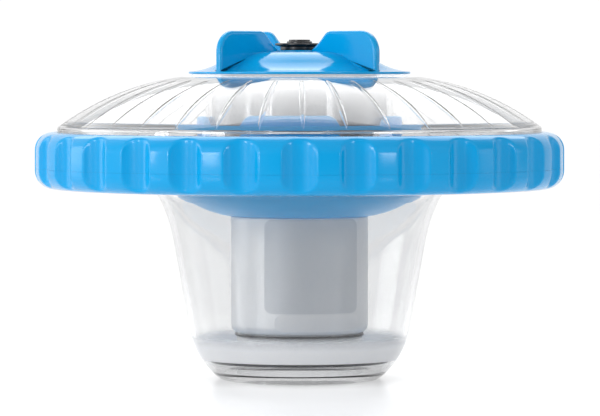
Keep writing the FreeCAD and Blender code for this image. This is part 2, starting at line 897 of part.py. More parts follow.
def rounded_rectangle(half_width, low, high, corner):
    """Corners and arcs of a rectangle with round corners, even about the upright axis."""
    corners = [
        (corner - half_width, low),
        (half_width - corner, low),
        (half_width, low + corner),
        (half_width, high - corner),
        (half_width - corner, high),
        (corner - half_width, high),
        (-half_width, high - corner),
        (-half_width, low + corner),
    ]
    return corners, {1: corner, 3: corner, 5: corner, 7: corner}


def sticker(label, low, high, width, turn):
    """A thin blank patch with round corners, bent round the canister."""
    body = new_body(label)
    corners, arcs = rounded_rectangle(width / 2, low, high, d.label_corner)
    sketch = new_sketch(body)
    draw_outline(sketch, corners, arcs)
    extrude(body, sketch, d.canister_radius * 2)
    inside = d.canister_radius
    outside = inside + d.sticker_thickness
    away = d.canister_radius * 4
    under = low - d.label_corner
    over = high + d.label_corner
    revolve(body, [(0, under), (inside, under), (inside, over), (0, over)], cuts=True)
    revolve(body, [(outside, under), (away, under), (away, over), (outside, over)], cuts=True)
    place(body, turn=number(turn))
    body.setExpression("Placement.Rotation.Angle", turn.text)
    return body


def rating_label():
    foot = strip_top + d.label_gap
    return sticker("rating_label", foot, canister_top - d.label_drop, d.label_width, d.label_angle)


def date_strip():
    return sticker("date_strip", strip_foot, strip_top, d.strip_width, d.strip_angle)


# ---------------------------------------------------------------- lamp and driver


def reflector():
    """Dish round the lamp; its outside follows the bowl."""
    body = new_body("reflector")
    aperture = d.led_board_radius + d.fit_gap
    top_radius = bowl_inside(canister_foot, d.reflector_gap)
    low_radius = bowl_inside(d.reflector_lift, d.reflector_gap)
    corners = [
        (aperture, canister_foot),
        (aperture, canister_foot - d.led_board_thickness),
        (low_radius - d.reflector_edge, d.reflector_lift),
        (low_radius, d.reflector_lift),
        (top_radius, canister_foot),
    ]
    revolve(body, corners, {3: d.bowl_corner_arc - d.bowl_wall - d.reflector_gap})
    return body


def reflector_pad():
    """Dark ring that cushions the reflector's lower edge against the bowl."""
    body = new_body("reflector_pad")
    foot = d.reflector_lift - d.pad_thickness
    outside = bowl_inside(foot, d.reflector_gap)
    corners = [
        (outside - d.pad_width, foot),
        (outside, foot),
        (outside, d.reflector_lift),
        (outside - d.pad_width, d.reflector_lift),
    ]
    revolve(body, corners)
    return body


def led_board():
    body = new_body("led_board")
    rounds(body, [(0, 0)], d.led_board_radius, canister_foot - d.led_board_thickness, d.led_board_thickness)
    return body


def led_emitter():
    """Square-cornered base taken as a disc, with its round lens below."""
    body = new_body("led_emitter")
    top = canister_foot - d.led_board_thickness
    low = top - d.led_base_thickness
    corners = [
        (0, low - d.led_dome_radius),
        (d.led_dome_radius, low),
        (d.led_base_radius, low),
        (d.led_base_radius, top),
        (0, top),
    ]
    revolve(body, corners, {0: d.led_dome_radius})
    return body


def heat_sink():
    body = new_body("heat_sink")
    rounds(body, [(0, 0)], d.heat_sink_radius, canister_floor, d.heat_sink_thickness)
    return body


def driver_standoffs():
    body = new_body("driver_standoffs", many=True)
    places = screw_places(d.standoff_circle, [FRONT, 30, 150])
    rounds(body, places, d.standoff_radius, heat_sink_top, d.standoff_height)
    return body


def driver_board():
    body = new_body("driver_board")
    radius = d.canister_radius - d.canister_wall * 2
    rounds(body, [(0, 0)], radius, board_foot, d.driver_board_thickness)
    return body


def driver_inductor():
    body = new_body("driver_inductor")
    place_of = (d.inductor_radius * 2, -d.inductor_radius / 2)
    rounds(body, [place_of], d.inductor_radius, board_top, d.inductor_height)
    return body


def driver_capacitor():
    body = new_body("driver_capacitor")
    place_of = (d.capacitor_radius * -2, -d.capacitor_radius)
    rounds(body, [place_of], d.capacitor_radius, board_top, d.capacitor_height)
    return body


def lead_places():
    """Where the two leads run up to the inner and the outer contact ring."""
    return [(0, d.inner_track), (0, d.outer_track)]


def lead_wires():
    body = new_body("lead_wires", many=True)
    rounds(body, lead_places(), d.wire_radius, board_top, floor_top - board_top)
    return body


def contact_rings():
    """Two flat rings on the housing's floor, which the cassette's springs slide on."""
    body = new_body("contact_rings", many=True)
    half = d.track_width / 2
    sketch = new_sketch(body, "XY_Plane", floor_top)
    for track in (d.inner_track, d.outer_track):
        draw_circle(sketch, 0, 0, track - half)
        draw_circle(sketch, 0, 0, track + half)
    extrude(body, sketch, d.contact_thickness)
    return body


# ---------------------------------------------------------------- cells and cassette


def cassette():
    """Two end plates joined by a middle column and four pillars."""
    body = new_body("cassette")
    rounds(body, [(0, 0)], d.cassette_column, base_foot, plate_top - base_foot)
    rounds(body, [(0, 0)], d.cassette_radius, base_foot, d.cassette_base)
    rounds(body, [(0, 0)], d.cassette_radius, plate_top - d.cassette_top, d.cassette_top)
    pillars = screw_places(d.pillar_circle, QUARTERS)
    rounds(body, pillars, d.pillar_radius, base_foot, plate_top - base_foot)
    hole = d.cassette_screw_radius + d.fit_gap
    rounds(body, pillars, hole, base_foot, plate_top - base_foot, cuts=True)
    return body


def cassette_screws():
    """Long screws up through the pillars into the knob."""
    body = new_body("cassette_screws", many=True)
    pillars = screw_places(d.pillar_circle, QUARTERS)
    length = plate_top - base_foot + d.screw_head_height
    rounds(body, pillars, d.cassette_screw_radius, base_foot, length)
    head = d.spring_gap - d.cell_contact
    rounds(body, pillars, d.cassette_screw_head, base_foot - head, head)
    return body


def cell(index, upright):
    """One cell, its nub at the top or at the bottom."""
    body = new_body("cell_%d" % (index + 1))
    edge = d.cell_contact
    nub_foot = d.cell_length - d.cell_nub_height
    corners = [
        (0, 0),
        (d.cell_radius - edge, 0),
        (d.cell_radius, edge),
        (d.cell_radius, nub_foot - edge),
        (d.cell_radius - edge, nub_foot),
        (d.cell_nub_radius, nub_foot),
        (d.cell_nub_radius, d.cell_length),
        (0, d.cell_length),
    ]
    if not upright:
        corners = [(x, d.cell_length - z) for x, z in reversed(corners)]
    revolve(body, corners)
    x_side, y_side = [(1, -1), (1, 1), (-1, 1), (-1, -1)][index]
    place(body, cell_spacing * (x_side / 2), cell_spacing * (y_side / 2), cell_foot)
    return body


def rectangle(x, y, length, width):
    """Corners of a rectangle about a middle."""
    left, right = -length / 2 + x, length / 2 + x
    low, high = -width / 2 + y, width / 2 + y
    return [(left, low), (right, low), (right, high), (left, high)]


def cell_contacts():
    """Strips at the top and bottom of the cells, which put them in series."""
    body = new_body("cell_contacts", many=True)
    reach = cell_spacing + d.contact_strip_width
    column = d.cassette_column + d.loose_gap
    side = cell_spacing / 2
    strip = reach - d.loose_gap
    for lift, runs in ((cell_top, (1, -1)), (base_top, (1,))):
        sketch = new_sketch(body, "XY_Plane", lift)
        for run in runs:
            draw_outline(sketch, rectangle(side * run, 0, d.contact_strip_width, strip))
        extrude(body, sketch, d.cell_contact)
    sketch = new_sketch(body, "XY_Plane", base_top)
    for run in (1, -1):
        middle = (column + side) * run
        draw_outline(sketch, rectangle(-side, middle, d.contact_strip_width, d.contact_strip_width))
    extrude(body, sketch, d.cell_contact)
    return body


def cassette_springs():
    """Spring feet that press on the two contact rings."""
    body = new_body("cassette_springs", many=True)
    places = [(d.inner_track, 0), (-d.outer_track, 0)]
    rounds(body, places, d.spring_radius, contact_top, d.spring_gap)
    return body


# ---------------------------------------------------------------- knob and button


def knob():
    """Bell with four wings to grip, a button seat in the middle and a sleeve below."""
    body = new_body("knob")
    bore = d.bezel_neck + d.fit_gap
    bell = dome_top + d.bell_rise
    rim = dome_top + d.knob_rim
    lip = d.knob_radius - d.knob_rim
    sleeve = skirt_radius - d.skirt_wall
    foot = dome_top - d.skirt_length
    corners = [
        (bore, plateau_inside),
        (d.knob_plateau, plateau_inside),
        (sleeve, bell - d.knob_wall + d.fit_gap * 4),
        (sleeve, foot),
        (skirt_radius, foot),
        (skirt_radius, knob_underside),
        (lip, knob_underside),
        (lip, dome_top + d.fit_gap),
        (d.knob_radius, dome_top + d.fit_gap),
        (d.knob_radius, rim),
        (bell_radius, bell),
        (d.knob_plateau, plateau),
        (d.button_seat_radius, plateau),
        (d.button_seat_radius, button_seat),
        (bore, button_seat),
    ]
    arcs = {
        1: -d.bell_crown_arc,
        9: -d.bell_foot_arc,
        10: d.bell_crown_arc,
    }
    revolve(body, corners, arcs)
    add_bosses(body)
    add_wings(body)
    return body


def add_bosses(body):
    """Screw bosses for the cassette and posts for the switch board, under the bell."""
    places = screw_places(d.pillar_circle, QUARTERS)
    rounds(body, places, d.pillar_radius, plate_top, d.knob_wall)
    rounds(body, places, d.cassette_screw_radius, plate_top, d.screw_head_height, cuts=True)
    posts = screw_places(d.switch_post_circle, [0, 180])
    rounds(body, posts, d.switch_post_radius, switch_board_top, switch_post_length + d.fit_gap)


def wing(angle):
    """One upright plate, a little off the middle, its edges rounded down to the bell."""
    body = new_body("wing_at_%d" % angle)
    far_side = d.wing_offset + d.wing_thickness / 2
    outer = (d.knob_radius * d.knob_radius - far_side * far_side).root()
    top = dome_top + d.wing_rise
    buried = d.knob_wall / 2
    steep = math.radians(WING_CREST_ANGLE)
    shallow = math.radians(WING_FOOT_ANGLE)
    crest_out, crest_up = share(d.wing_crest_arc, WING_CREST_ANGLE)
    crest_end = d.wing_top_start - crest_out
    crest_low = top - d.wing_crest_arc + crest_up
    waist_arc = (crest_end - d.wing_inner_radius) / (math.sin(steep) - math.sin(shallow))
    waist_low = crest_low - waist_arc * (math.cos(shallow) - math.cos(steep))
    corners = [
        (d.wing_inner_radius, plateau - buried),
        (d.knob_plateau, plateau - buried),
        (bell_radius, dome_top + d.bell_rise - buried),
        (outer, knob_underside),
        (outer, top - d.wing_corner),
        (outer - d.wing_corner, top),
        (d.wing_top_start, top),
        (crest_end, crest_low),
        (d.wing_inner_radius, waist_low),
    ]
    arcs = {
        1: -d.bell_crown_arc,
        4: d.wing_corner,
        6: d.wing_crest_arc,
        7: -waist_arc,
    }
    turn = angle + number(d.wing_yaw)
    sketch = new_sketch(body, "XZ_Plane", turn=turn, shift=number(d.wing_offset))
    draw_outline(sketch, corners, arcs)
    extrude(body, sketch, d.wing_thickness, both_ways=True)
    along = Vector(math.cos(math.radians(turn)), math.sin(math.radians(turn)), 0)
    round_edges(body, lambda edge: edge_is_free(edge, along), d.wing_edge)
    return body


def edge_is_free(edge, along):
    """Whether an edge of a wing runs over its top or up its outer end."""
    middle = (edge.FirstParameter + edge.LastParameter) / 2
    course = edge.tangentAt(middle)
    spot = edge.valueAt(middle)
    crosses = abs(course.dot(along)) < 1e-6 and abs(course.z) < 1e-6
    upright = abs(course.z) > 1 - 1e-6
    at_end = upright and math.hypot(spot.x, spot.y) > number(bell_radius)
    return at_end or (not crosses and spot.z > number(plateau))


def add_wings(body):
    """Four wings set round the button like a pinwheel."""
    before = volume(body)
    union = body.newObject("PartDesign::Boolean", "knob_wings")
    union.setObjects([wing(angle) for angle in DIAGONALS])
    union.Type = "Fuse"
    body.Tip = union
    doc.recompute()
    check_change(body, before, union, cuts=False)


def knob_gasket():
    """Flat ring between the knob and the dome's land."""
    body = new_body("knob_gasket")
    outside = d.knob_radius - d.knob_rim - d.loose_gap
    corners = [
        (outside - d.gasket_width, dome_top),
        (outside, dome_top),
        (outside, dome_top + d.gasket_thickness),
        (outside - d.gasket_width, dome_top + d.gasket_thickness),
    ]
    revolve(body, corners)
    return body


def knob_o_ring():
    """Ring on the rim of the battery housing, which the knob's bell squeezes."""
    body = new_body("knob_o_ring")
    inside = housing_radius - d.housing_wall + d.loose_gap
    half = d.o_ring_width / 2
    corners = [
        (inside + half, housing_rim),
        (inside + half * 2, housing_rim + half),
        (inside + half, housing_rim + half * 2),
        (inside, housing_rim + half),
    ]
    revolve(body, corners, {0: half, 1: half, 2: half, 3: half})
    return body


def button_bezel():
    """Black bush round the button, its flange held above the knob."""
    body = new_body("button_bezel")
    bore = d.button_radius + d.button_gap
    foot = plateau_inside + d.fit_gap
    corners = [
        (bore, foot),
        (d.bezel_neck, foot),
        (d.bezel_neck, bezel_foot),
        (d.bezel_radius, bezel_foot + d.bezel_flange / 3),
        (d.bezel_radius, bezel_top),
        (bore, bezel_top),
    ]
    revolve(body, corners)
    return body


def power_button():
    """Two-tier round button."""
    body = new_body("power_button")
    step = bezel_top + d.button_lift
    edge = d.button_top_lift / 2
    corners = [
        (0, button_seat),
        (d.button_radius, button_seat),
        (d.button_radius, step),
        (d.button_top_radius, step),
        (d.button_top_radius, step + edge),
        (d.button_top_radius - edge, step + d.button_top_lift),
        (0, step + d.button_top_lift),
    ]
    revolve(body, corners, {4: edge})
    return body


def switch_board():
    body = new_body("switch_board")
    thickness = d.switch_board_thickness
    rounds(body, [(0, 0)], d.switch_board_radius, switch_board_top - thickness, thickness)
    return body


def tact_switch():
    body = new_body("tact_switch")
    sketch = new_sketch(body, "XY_Plane", switch_board_top)
    draw_outline(sketch, rectangle(0, 0, d.switch_side, d.switch_side))
    extrude(body, sketch, d.switch_height)
    rounds(body, [(0, 0)], d.plunger_radius, switch_top, d.plunger_height)
    return body


# ---------------------------------------------------------------- build, check and write


def build_all():
    makers = [
        clear_bowl, clear_dome, shell_seal, grip_ring_upper, grip_ring_lower,
        carrier, carrier_screws, battery_housing, housing_screws, driver_canister, rating_label, date_strip,
        reflector, reflector_pad, led_board, led_emitter,
        heat_sink, driver_standoffs, driver_board, driver_inductor, driver_capacitor,
        lead_wires, contact_rings,
        cassette, cassette_screws, cell_contacts, cassette_springs,
        knob, knob_gasket, knob_o_ring, button_bezel, power_button, switch_board, tact_switch,
    ]
    bodies = [make() for make in makers]
    bodies += [cell(index, upright=index % 2 == 0) for index in range(4)]
    doc.recompute()
    return bodies


def check_document():
    """Every object has to be sound before anything is written."""
    for thing in doc.Objects:
        if "Invalid" in thing.State or "Error" in thing.State:
            raise RuntimeError("%s failed: %s" % (thing.Name, thing.State))


def write_parts(bodies):
    os.makedirs("parts", exist_ok=True)
    for body in bodies:
        shape = body.Shape
        if shape.isNull() or not shape.isValid():
            raise RuntimeError("%s has no sound shape" % body.Label)
    for body in bodies:
        body.Shape.exportStep(os.path.join("parts", body.Label + ".step"))
        box = body.Shape.BoundBox
        facts = (body.Label, len(body.Shape.Solids), body.Shape.Volume / 1000, box.ZMin, box.ZMax)
        print("%-18s %2d solid(s) %8.2f cm3  z %7.2f to %7.2f" % facts)


all_bodies = build_all()
check_document()
write_parts(all_bodies)
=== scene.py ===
# %% [markdown]
# # A floating pool light
# The real product is a clear two-part float with a coloured ring round its middle. A silver can with the
# driver and a lamp hangs in the bowl, and a winged knob with a push button closes the cell housing on top.
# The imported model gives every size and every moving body. This lesson dresses it: it works out smooth
# surfaces for the mouldings, paints every part with nodes, and sets up a small white studio.

# %% Load the frame
import json
import math

import bpy
import numpy as np
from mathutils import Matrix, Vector


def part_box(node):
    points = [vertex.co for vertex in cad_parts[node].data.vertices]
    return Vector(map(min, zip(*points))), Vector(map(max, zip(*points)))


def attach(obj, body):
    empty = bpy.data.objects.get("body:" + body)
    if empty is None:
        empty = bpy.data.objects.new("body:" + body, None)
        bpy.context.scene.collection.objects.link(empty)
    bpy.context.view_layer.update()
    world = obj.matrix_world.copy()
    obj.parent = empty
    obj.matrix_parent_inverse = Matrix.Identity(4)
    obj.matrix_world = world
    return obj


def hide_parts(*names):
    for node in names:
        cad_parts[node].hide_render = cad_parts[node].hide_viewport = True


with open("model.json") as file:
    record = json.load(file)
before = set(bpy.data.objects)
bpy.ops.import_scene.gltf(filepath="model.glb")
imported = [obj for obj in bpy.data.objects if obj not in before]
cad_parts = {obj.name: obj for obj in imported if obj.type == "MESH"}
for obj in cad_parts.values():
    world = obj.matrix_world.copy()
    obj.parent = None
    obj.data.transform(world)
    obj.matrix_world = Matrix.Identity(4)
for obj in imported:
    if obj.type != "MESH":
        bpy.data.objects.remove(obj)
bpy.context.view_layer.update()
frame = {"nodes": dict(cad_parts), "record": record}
MM = 0.001


def span(node):
    """Outer radius, lowest and highest level of a round node, in millimetres."""
    low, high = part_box(node)
    return max(high.x, high.y, -low.x, -low.y) / MM, low.z / MM, high.z / MM


print("nodes in the frame:", len(frame["nodes"]))

# %% [markdown]
# ## Shader arithmetic
# A node tree is easier to read as a sum than as a web. A small class wraps a socket, so that a sum like
# noise * 0.2 + 0.3 adds its two Math nodes by itself. Everything that isn't arithmetic goes through one
# method that adds a node.

# %% Sockets that can be added and multiplied
class Shade:
    """A number that varies over a surface: an output socket with Python's operators."""

    def __init__(self, web, socket):
        self.web = web
        self.socket = socket

    def maths(self, operation, other):
        return self.web.node("ShaderNodeMath", {"operation": operation}, {0: self, 1: other})

    def __add__(self, other):
        return self.maths("ADD", other)

    def __sub__(self, other):
        return self.maths("SUBTRACT", other)

    def __mul__(self, other):
        return self.maths("MULTIPLY", other)


# %% A node tree that grows
class Web:
    """A node tree that grows by one method, for a material or for the sky."""

    def __init__(self, tree, coordinates):
        self.tree = tree
        self.place = Shade(self, tree.nodes.new("ShaderNodeTexCoord").outputs[coordinates])

    def node(self, kind, settings, inputs, output=0):
        """Adds a node: its settings first, then the values or links of its sockets."""
        added = self.tree.nodes.new(kind)
        for name, value in settings.items():
            setattr(added, name, value)
        for name, value in inputs.items():
            if isinstance(value, Shade):
                self.tree.links.new(value.socket, added.inputs[name])
            else:
                added.inputs[name].default_value = value
        return Shade(self, added.outputs[output])

    def ramp(self, value, start, end, smooth=False):
        """Runs from 0 at start to 1 at end and stays there."""
        settings = {"interpolation_type": "SMOOTHSTEP" if smooth else "LINEAR"}
        inputs = {"Value": value, "From Min": start, "From Max": end}
        return self.node("ShaderNodeMapRange", settings, inputs)

    def along(self, direction):
        """How far a place lies along a direction: the dot product of the two."""
        inputs = {0: self.place, 1: direction}
        return self.node("ShaderNodeVectorMath", {"operation": "DOT_PRODUCT"}, inputs, output=1)

    def away(self):
        """Distance from the origin."""
        return self.node("ShaderNodeVectorMath", {"operation": "LENGTH"}, {0: self.place}, output=1)


# %% A finish and what varies on it
class Finish(Web):
    """A material on a Principled shader; what is the same all over is set on the shader's own sockets."""

    def __init__(self, name, **constants):
        self.material = bpy.data.materials.new(name)
        self.material.use_nodes = True
        super().__init__(self.material.node_tree, "Object")
        self.shader = next(n for n in self.tree.nodes if n.type == "BSDF_PRINCIPLED")
        for socket, value in constants.items():
            self.shader.inputs[socket.replace("_", " ")].default_value = value

    def level(self):
        """Height over the floor, in metres."""
        return self.along((0, 0, 1))

    def noise(self, size, detail=2.0, stretch=None):
        """Cloudy noise from 0 to 1 whose lumps are about size millimetres across."""
        where = self.place
        if stretch:
            where = self.node("ShaderNodeVectorMath", {"operation": "MULTIPLY"}, {0: where, 1: stretch})
        inputs = {"Vector": where, "Scale": 1 / (size * MM), "Detail": detail}
        return self.node("ShaderNodeTexNoise", {}, inputs)

    def blend(self, amount, first, second):
        """A colour between two colours, which a Mix node has on its sockets 6 and 7."""
        inputs = {"Factor": amount, 6: first, 7: second}
        return self.node("ShaderNodeMix", {"data_type": "RGBA"}, inputs, output=2)

    def feed(self, **sockets):
        """Links what varies to the shader's own sockets."""
        for name, value in sockets.items():
            self.tree.links.new(value.socket, self.shader.inputs[name.replace("_", " ")])

    def bump(self, height, depth):
        """Bends the surface by a height from 0 to 1 that is depth millimetres deep."""
        inputs = {"Height": height, "Distance": depth * MM, "Strength": 1.0}
        self.feed(Normal=self.node("ShaderNodeBump", {}, inputs))


# %% Colours
def rgb(red, green, blue):
    """A screen colour, 0 to 255, as the linear light that shaders use."""
    share = np.array([red, green, blue]) / 255
    linear = np.where(share <= 0.04045, share / 12.92, ((share + 0.055) / 1.055) ** 2.4)
    return (*linear.tolist(), 1.0)


BLACK, WHITE = rgb(0, 0, 0), rgb(255, 255, 255)
print("half grey as light:", [round(value, 3) for value in rgb(128, 128, 128)[:3]])

# %% [markdown]
# ## Moulded plastic
# Injection moulding leaves a skin that is nearly a mirror, with a faint waviness where the plastic shrank
# and dust-fine scuffs from handling. A single colour would look like a computer's plastic, so each finish
# mixes two close colours by a slow noise, varies its gloss by a finer one and bends the surface by a few
# microns. An image could do the same, but noise has no seams and stays sharp from close by.

# %% Coloured mouldings
DRIFT_SIZE, SCUFF_SIZE, WAVE_SIZE, WAVE_DEPTH = 26, 0.9, 5.5, 0.012


def moulding(name, colour, other, gloss, **constants):
    """Moulded plastic: slow colour drift, gloss that varies round a value, and a shallow waviness."""
    skin = Finish(name, **constants)
    scuffs = skin.noise(SCUFF_SIZE, detail=4)
    skin.feed(Base_Color=skin.blend(skin.noise(DRIFT_SIZE), colour, other))
    skin.feed(Roughness=scuffs * 0.12 + (gloss - 0.06))
    skin.bump(skin.noise(WAVE_SIZE) * 0.9 + scuffs * 0.1, WAVE_DEPTH)
    return skin.material


blue, other_blue = rgb(0, 149, 210), rgb(0, 155, 215)
# Painted light: the carrier is moulded in the ring's blue, but its finish gets a lighter blue and a faint
# glow, which stand in for light that reaches it inside the bowl.
painted_lit_blue, other_painted_lit_blue = rgb(0, 168, 224), rgb(0, 174, 228)
carrier_painted_glow = {"Emission_Color": rgb(0, 146, 230), "Emission_Strength": 0.2, "Specular_IOR_Level": 0.2}
finishes = {
    "blue_plastic": moulding("blue_moulding", blue, other_blue, 0.12, Specular_IOR_Level=0.28),
    "black_plastic": moulding("black_moulding", rgb(9, 9, 13), rgb(18, 18, 23), 0.3),
    "carrier_plastic": moulding("carrier_moulding", painted_lit_blue, other_painted_lit_blue, 0.3, **carrier_painted_glow),
    "soft_silicone": moulding("soft_silicone_pale", rgb(206, 212, 218), rgb(220, 224, 228), 0.4),
    "seal_rubber": moulding("seal_rubber_black", rgb(38, 40, 44), rgb(52, 54, 58), 0.6),
    "board_white": moulding("white_lamp_board", rgb(232, 234, 233), rgb(220, 224, 224), 0.4),
    "board_green": moulding("green_board", rgb(18, 96, 62), rgb(24, 112, 70), 0.35),
    "core_ferrite": moulding("ferrite_core", rgb(44, 43, 46), rgb(60, 58, 60), 0.55),
    "lead_red": moulding("red_lead", rgb(176, 28, 30), rgb(150, 22, 26), 0.4),
    "lamp_yellow": moulding("lamp_phosphor", rgb(222, 226, 92), rgb(198, 214, 84), 0.3),
    "cell_jacket": moulding("cell_jacket_film", rgb(34, 38, 46), rgb(52, 56, 64), 0.3, Coat_Weight=0.4),
}
print("moulded finishes:", len(finishes))

# %% [markdown]
# ## Clear and frosted plastic
# Both shells are clear polycarbonate, a little grey and with a breath of haze. Mixing in transparency would
# only make it thin. Transmission with an index of refraction bends light as the real wall does, because the
# pieces below get walls of real thickness. The reflector is frosted, and its frosting thins out upwards,
# which Alpha can do along one piece. Both get a faint painted glow, which stands in for light that runs
# along inside the plastic and comes out again, because a path tracer hardly finds that light.

# %% Clear plastic
LAND_STEP = 0.8


def clear_moulding():
    """Clear polycarbonate: almost colourless, with a little haze that varies over the surface. A faint
    painted glow in a band round the small step at the knob's land stands in for light that runs along inside
    the wall."""
    skin = Finish("clear_shell_plastic", Transmission_Weight=1.0, IOR=1.5, Emission_Strength=0.36)
    haze = skin.noise(14, detail=3)
    skin.feed(Base_Color=skin.blend(haze, rgb(239, 239, 239), rgb(233, 234, 235)))
    skin.feed(Roughness=skin.ramp(haze, 0.35, 0.9) * 0.03 + 0.008)
    # Painted glow: emission in a thin band round the step at the foot of the knob's land.
    step_foot = (span("clear_dome")[2] - LAND_STEP) * MM
    step = skin.ramp(skin.level(), step_foot - 0.1 * MM, step_foot + 0.1 * MM)
    skin.feed(Emission_Color=skin.blend(step, BLACK, rgb(238, 241, 245)))
    skin.bump(skin.noise(9), 0.01)
    return skin.material


finishes["clear_shell"] = clear_moulding()
print("clear plastic: %d nodes" % len(finishes["clear_shell"].node_tree.nodes))

# %% Frosted plastic
FROST_START, FROST_FULL, FROST_GRAIN = 21.4, 14.8, 1.2


def frosted_moulding():
    """Frosted milky plastic, whose frosting thins out over its upper millimetres. Light that enters it on
    one side comes out on the others, which a faint even glow stands in for."""
    skin = Finish("frosted_plastic", Emission_Color=rgb(236, 240, 246), Emission_Strength=0.17)
    grain = skin.noise(0.5, detail=3)
    skin.feed(Base_Color=skin.blend(grain, rgb(252, 252, 253), rgb(240, 242, 245)))
    skin.feed(Roughness=grain * 0.12 + 0.5)
    ragged = skin.level() + grain * (FROST_GRAIN * MM)
    skin.feed(Alpha=skin.ramp(ragged, FROST_START * MM, FROST_FULL * MM, smooth=True))
    skin.bump(grain, 0.01)
    return skin.material


finishes["reflector_plastic"] = frosted_moulding()
print("frosted plastic: %d nodes" % len(finishes["reflector_plastic"].node_tree.nodes))

# %% [markdown]
# ## Paint, metal and film
# The can is sprayed with metallic paint, whose flakes are small mirrors in a grey ground, so each spot is
# partly metal. Bare metal shows fine lines from rolling or turning, which is noise stretched one way. The
# labels are bare satin film, and the sleeve of the cell housing is plain grey plastic with painted shade
# that darkens it towards its foot.

# %% Silver paint
def silver_paint():
    """Sprayed metallic paint: bright flakes in a grey ground under a thin lacquer."""
    paint = Finish("silver_paint", Coat_Weight=0.2, Coat_Roughness=0.3)
    flakes = paint.noise(0.35, detail=1)
    drift = paint.noise(18)
    paint.feed(Base_Color=paint.blend(flakes * 0.5 + drift * 0.5, rgb(230, 232, 235), rgb(250, 251, 252)))
    paint.feed(Metallic=paint.ramp(flakes, 0.3, 0.7) * 0.3 + 0.35)
    paint.feed(Roughness=flakes * 0.14 + 0.42)
    paint.bump(flakes, 0.006)
    return paint.material


finishes["silver_plastic"] = silver_paint()
print("silver paint: %d nodes" % len(finishes["silver_plastic"].node_tree.nodes))

# %% Bare metal
def metal(name, colour, other, gloss):
    """Bare metal with fine lines from rolling or turning."""
    bare = Finish(name, Metallic=1.0)
    lines = bare.noise(0.6, detail=3, stretch=(1.0, 1.0, 0.12))
    bare.feed(Base_Color=bare.blend(lines, colour, other))
    bare.feed(Roughness=lines * 0.2 + gloss)
    bare.bump(lines, 0.008)
    return bare.material


finishes.update({
    "screw_steel": metal("screw_steel_bright", rgb(150, 152, 156), rgb(196, 198, 202), 0.2),
    "sink_aluminium": metal("heat_sink_aluminium", rgb(186, 188, 191), rgb(214, 216, 218), 0.28),
    "contact_brass": metal("contact_brass_plate", rgb(192, 152, 78), rgb(222, 186, 108), 0.22),
})
print("metals and paint included:", len(finishes))

# %% Label film
def film(name, colour, other, metallic):
    """A bare self-adhesive label: satin film with paper-fine mottling, more or less silvered."""
    sheet = Finish(name, Metallic=metallic)
    mottle = sheet.noise(1.1, detail=5)
    sheet.feed(Base_Color=sheet.blend(mottle, colour, other))
    sheet.feed(Roughness=mottle * 0.15 + 0.42)
    sheet.bump(mottle, 0.01)
    return sheet.material


finishes["label_film"] = film("label_film_grey", rgb(212, 216, 221), rgb(222, 225, 229), 0.35)
finishes["strip_film"] = film("strip_film_white", rgb(250, 250, 251), rgb(242, 243, 245), 0.0)
print("films included:", len(finishes))

# %% The grey sleeve
SLEEVE_LIGHT, SLEEVE_DARK, SLEEVE_DRIFT = 122, 100, 6


def sleeve_grey():
    """The grey sleeve of the cell housing, with painted shade that makes it a little darker towards its
    foot.
    """
    sleeve = Finish("sleeve_plastic_grey")
    drift = sleeve.noise(20)
    # Painted shade: a mask over the height that darkens the sleeve towards its foot.
    uneven = sleeve.level() + drift * (SLEEVE_DRIFT * MM)
    lower = sleeve.ramp(uneven, SLEEVE_LIGHT * MM, SLEEVE_DARK * MM, smooth=True)
    sleeve.feed(Base_Color=sleeve.blend(lower, rgb(230, 232, 235), rgb(168, 174, 184)))
    sleeve.feed(Roughness=drift * 0.1 + 0.35)
    sleeve.bump(drift, 0.02)
    return sleeve.material


finishes["sleeve_plastic"] = sleeve_grey()
print("all finishes:", len(finishes))

# %% [markdown]
# ## Carried-over nodes
# Boards, screws, cells and springs are small or hidden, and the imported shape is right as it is. They keep
# their mesh and only get the finish that their material slot names. Two of them share a slot with a part of
# another look: the knob's gasket is pale silicone, not black rubber, and the cell housing is plain grey, not
# silver.

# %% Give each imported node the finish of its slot
own_finish = {"knob_gasket": "soft_silicone", "battery_housing": "sleeve_plastic"}
for part in frame["record"]["subparts"]:
    node = frame["nodes"][part["node"]]
    node.data.materials.clear()
    node.data.materials.append(finishes[own_finish.get(part["node"], part["material_slot"])])

# %% [markdown]
# ## Turned surfaces
# Nearly every moulding is round. A side view is enough: a closed outline of radius and height is turned
# about the axis, and where the ring is scalloped or the dome fluted, the radius or the height also depends
# on the turn.

# %% Arcs
def arc_to(start, end, radius, step=3.0):
    """Points after start, up to end, on a circle of that radius, turning left when it is positive."""
    a, b = np.array(start[:2], float), np.array(end[:2], float)
    half = np.linalg.norm(b - a) / 2
    reach = math.sqrt(radius * radius - half * half)
    left = np.array([a[1] - b[1], b[0] - a[0]]) / (2 * half)
    centre = (a + b) / 2 + left * math.copysign(reach, radius)
    opening = 2 * math.asin(half / abs(radius))
    count = max(2, math.ceil(math.degrees(opening) / step))
    turns = math.copysign(opening, radius) * np.arange(1, count) / count
    arm = a - centre
    x = centre[0] + arm[0] * np.cos(turns) - arm[1] * np.sin(turns)
    y = centre[1] + arm[0] * np.sin(turns) + arm[1] * np.cos(turns)
    return [*np.stack([x, y], axis=1).tolist(), list(end)]


print("points of a quarter turn:", len(arc_to((0, 0), (1, 1), 1)))

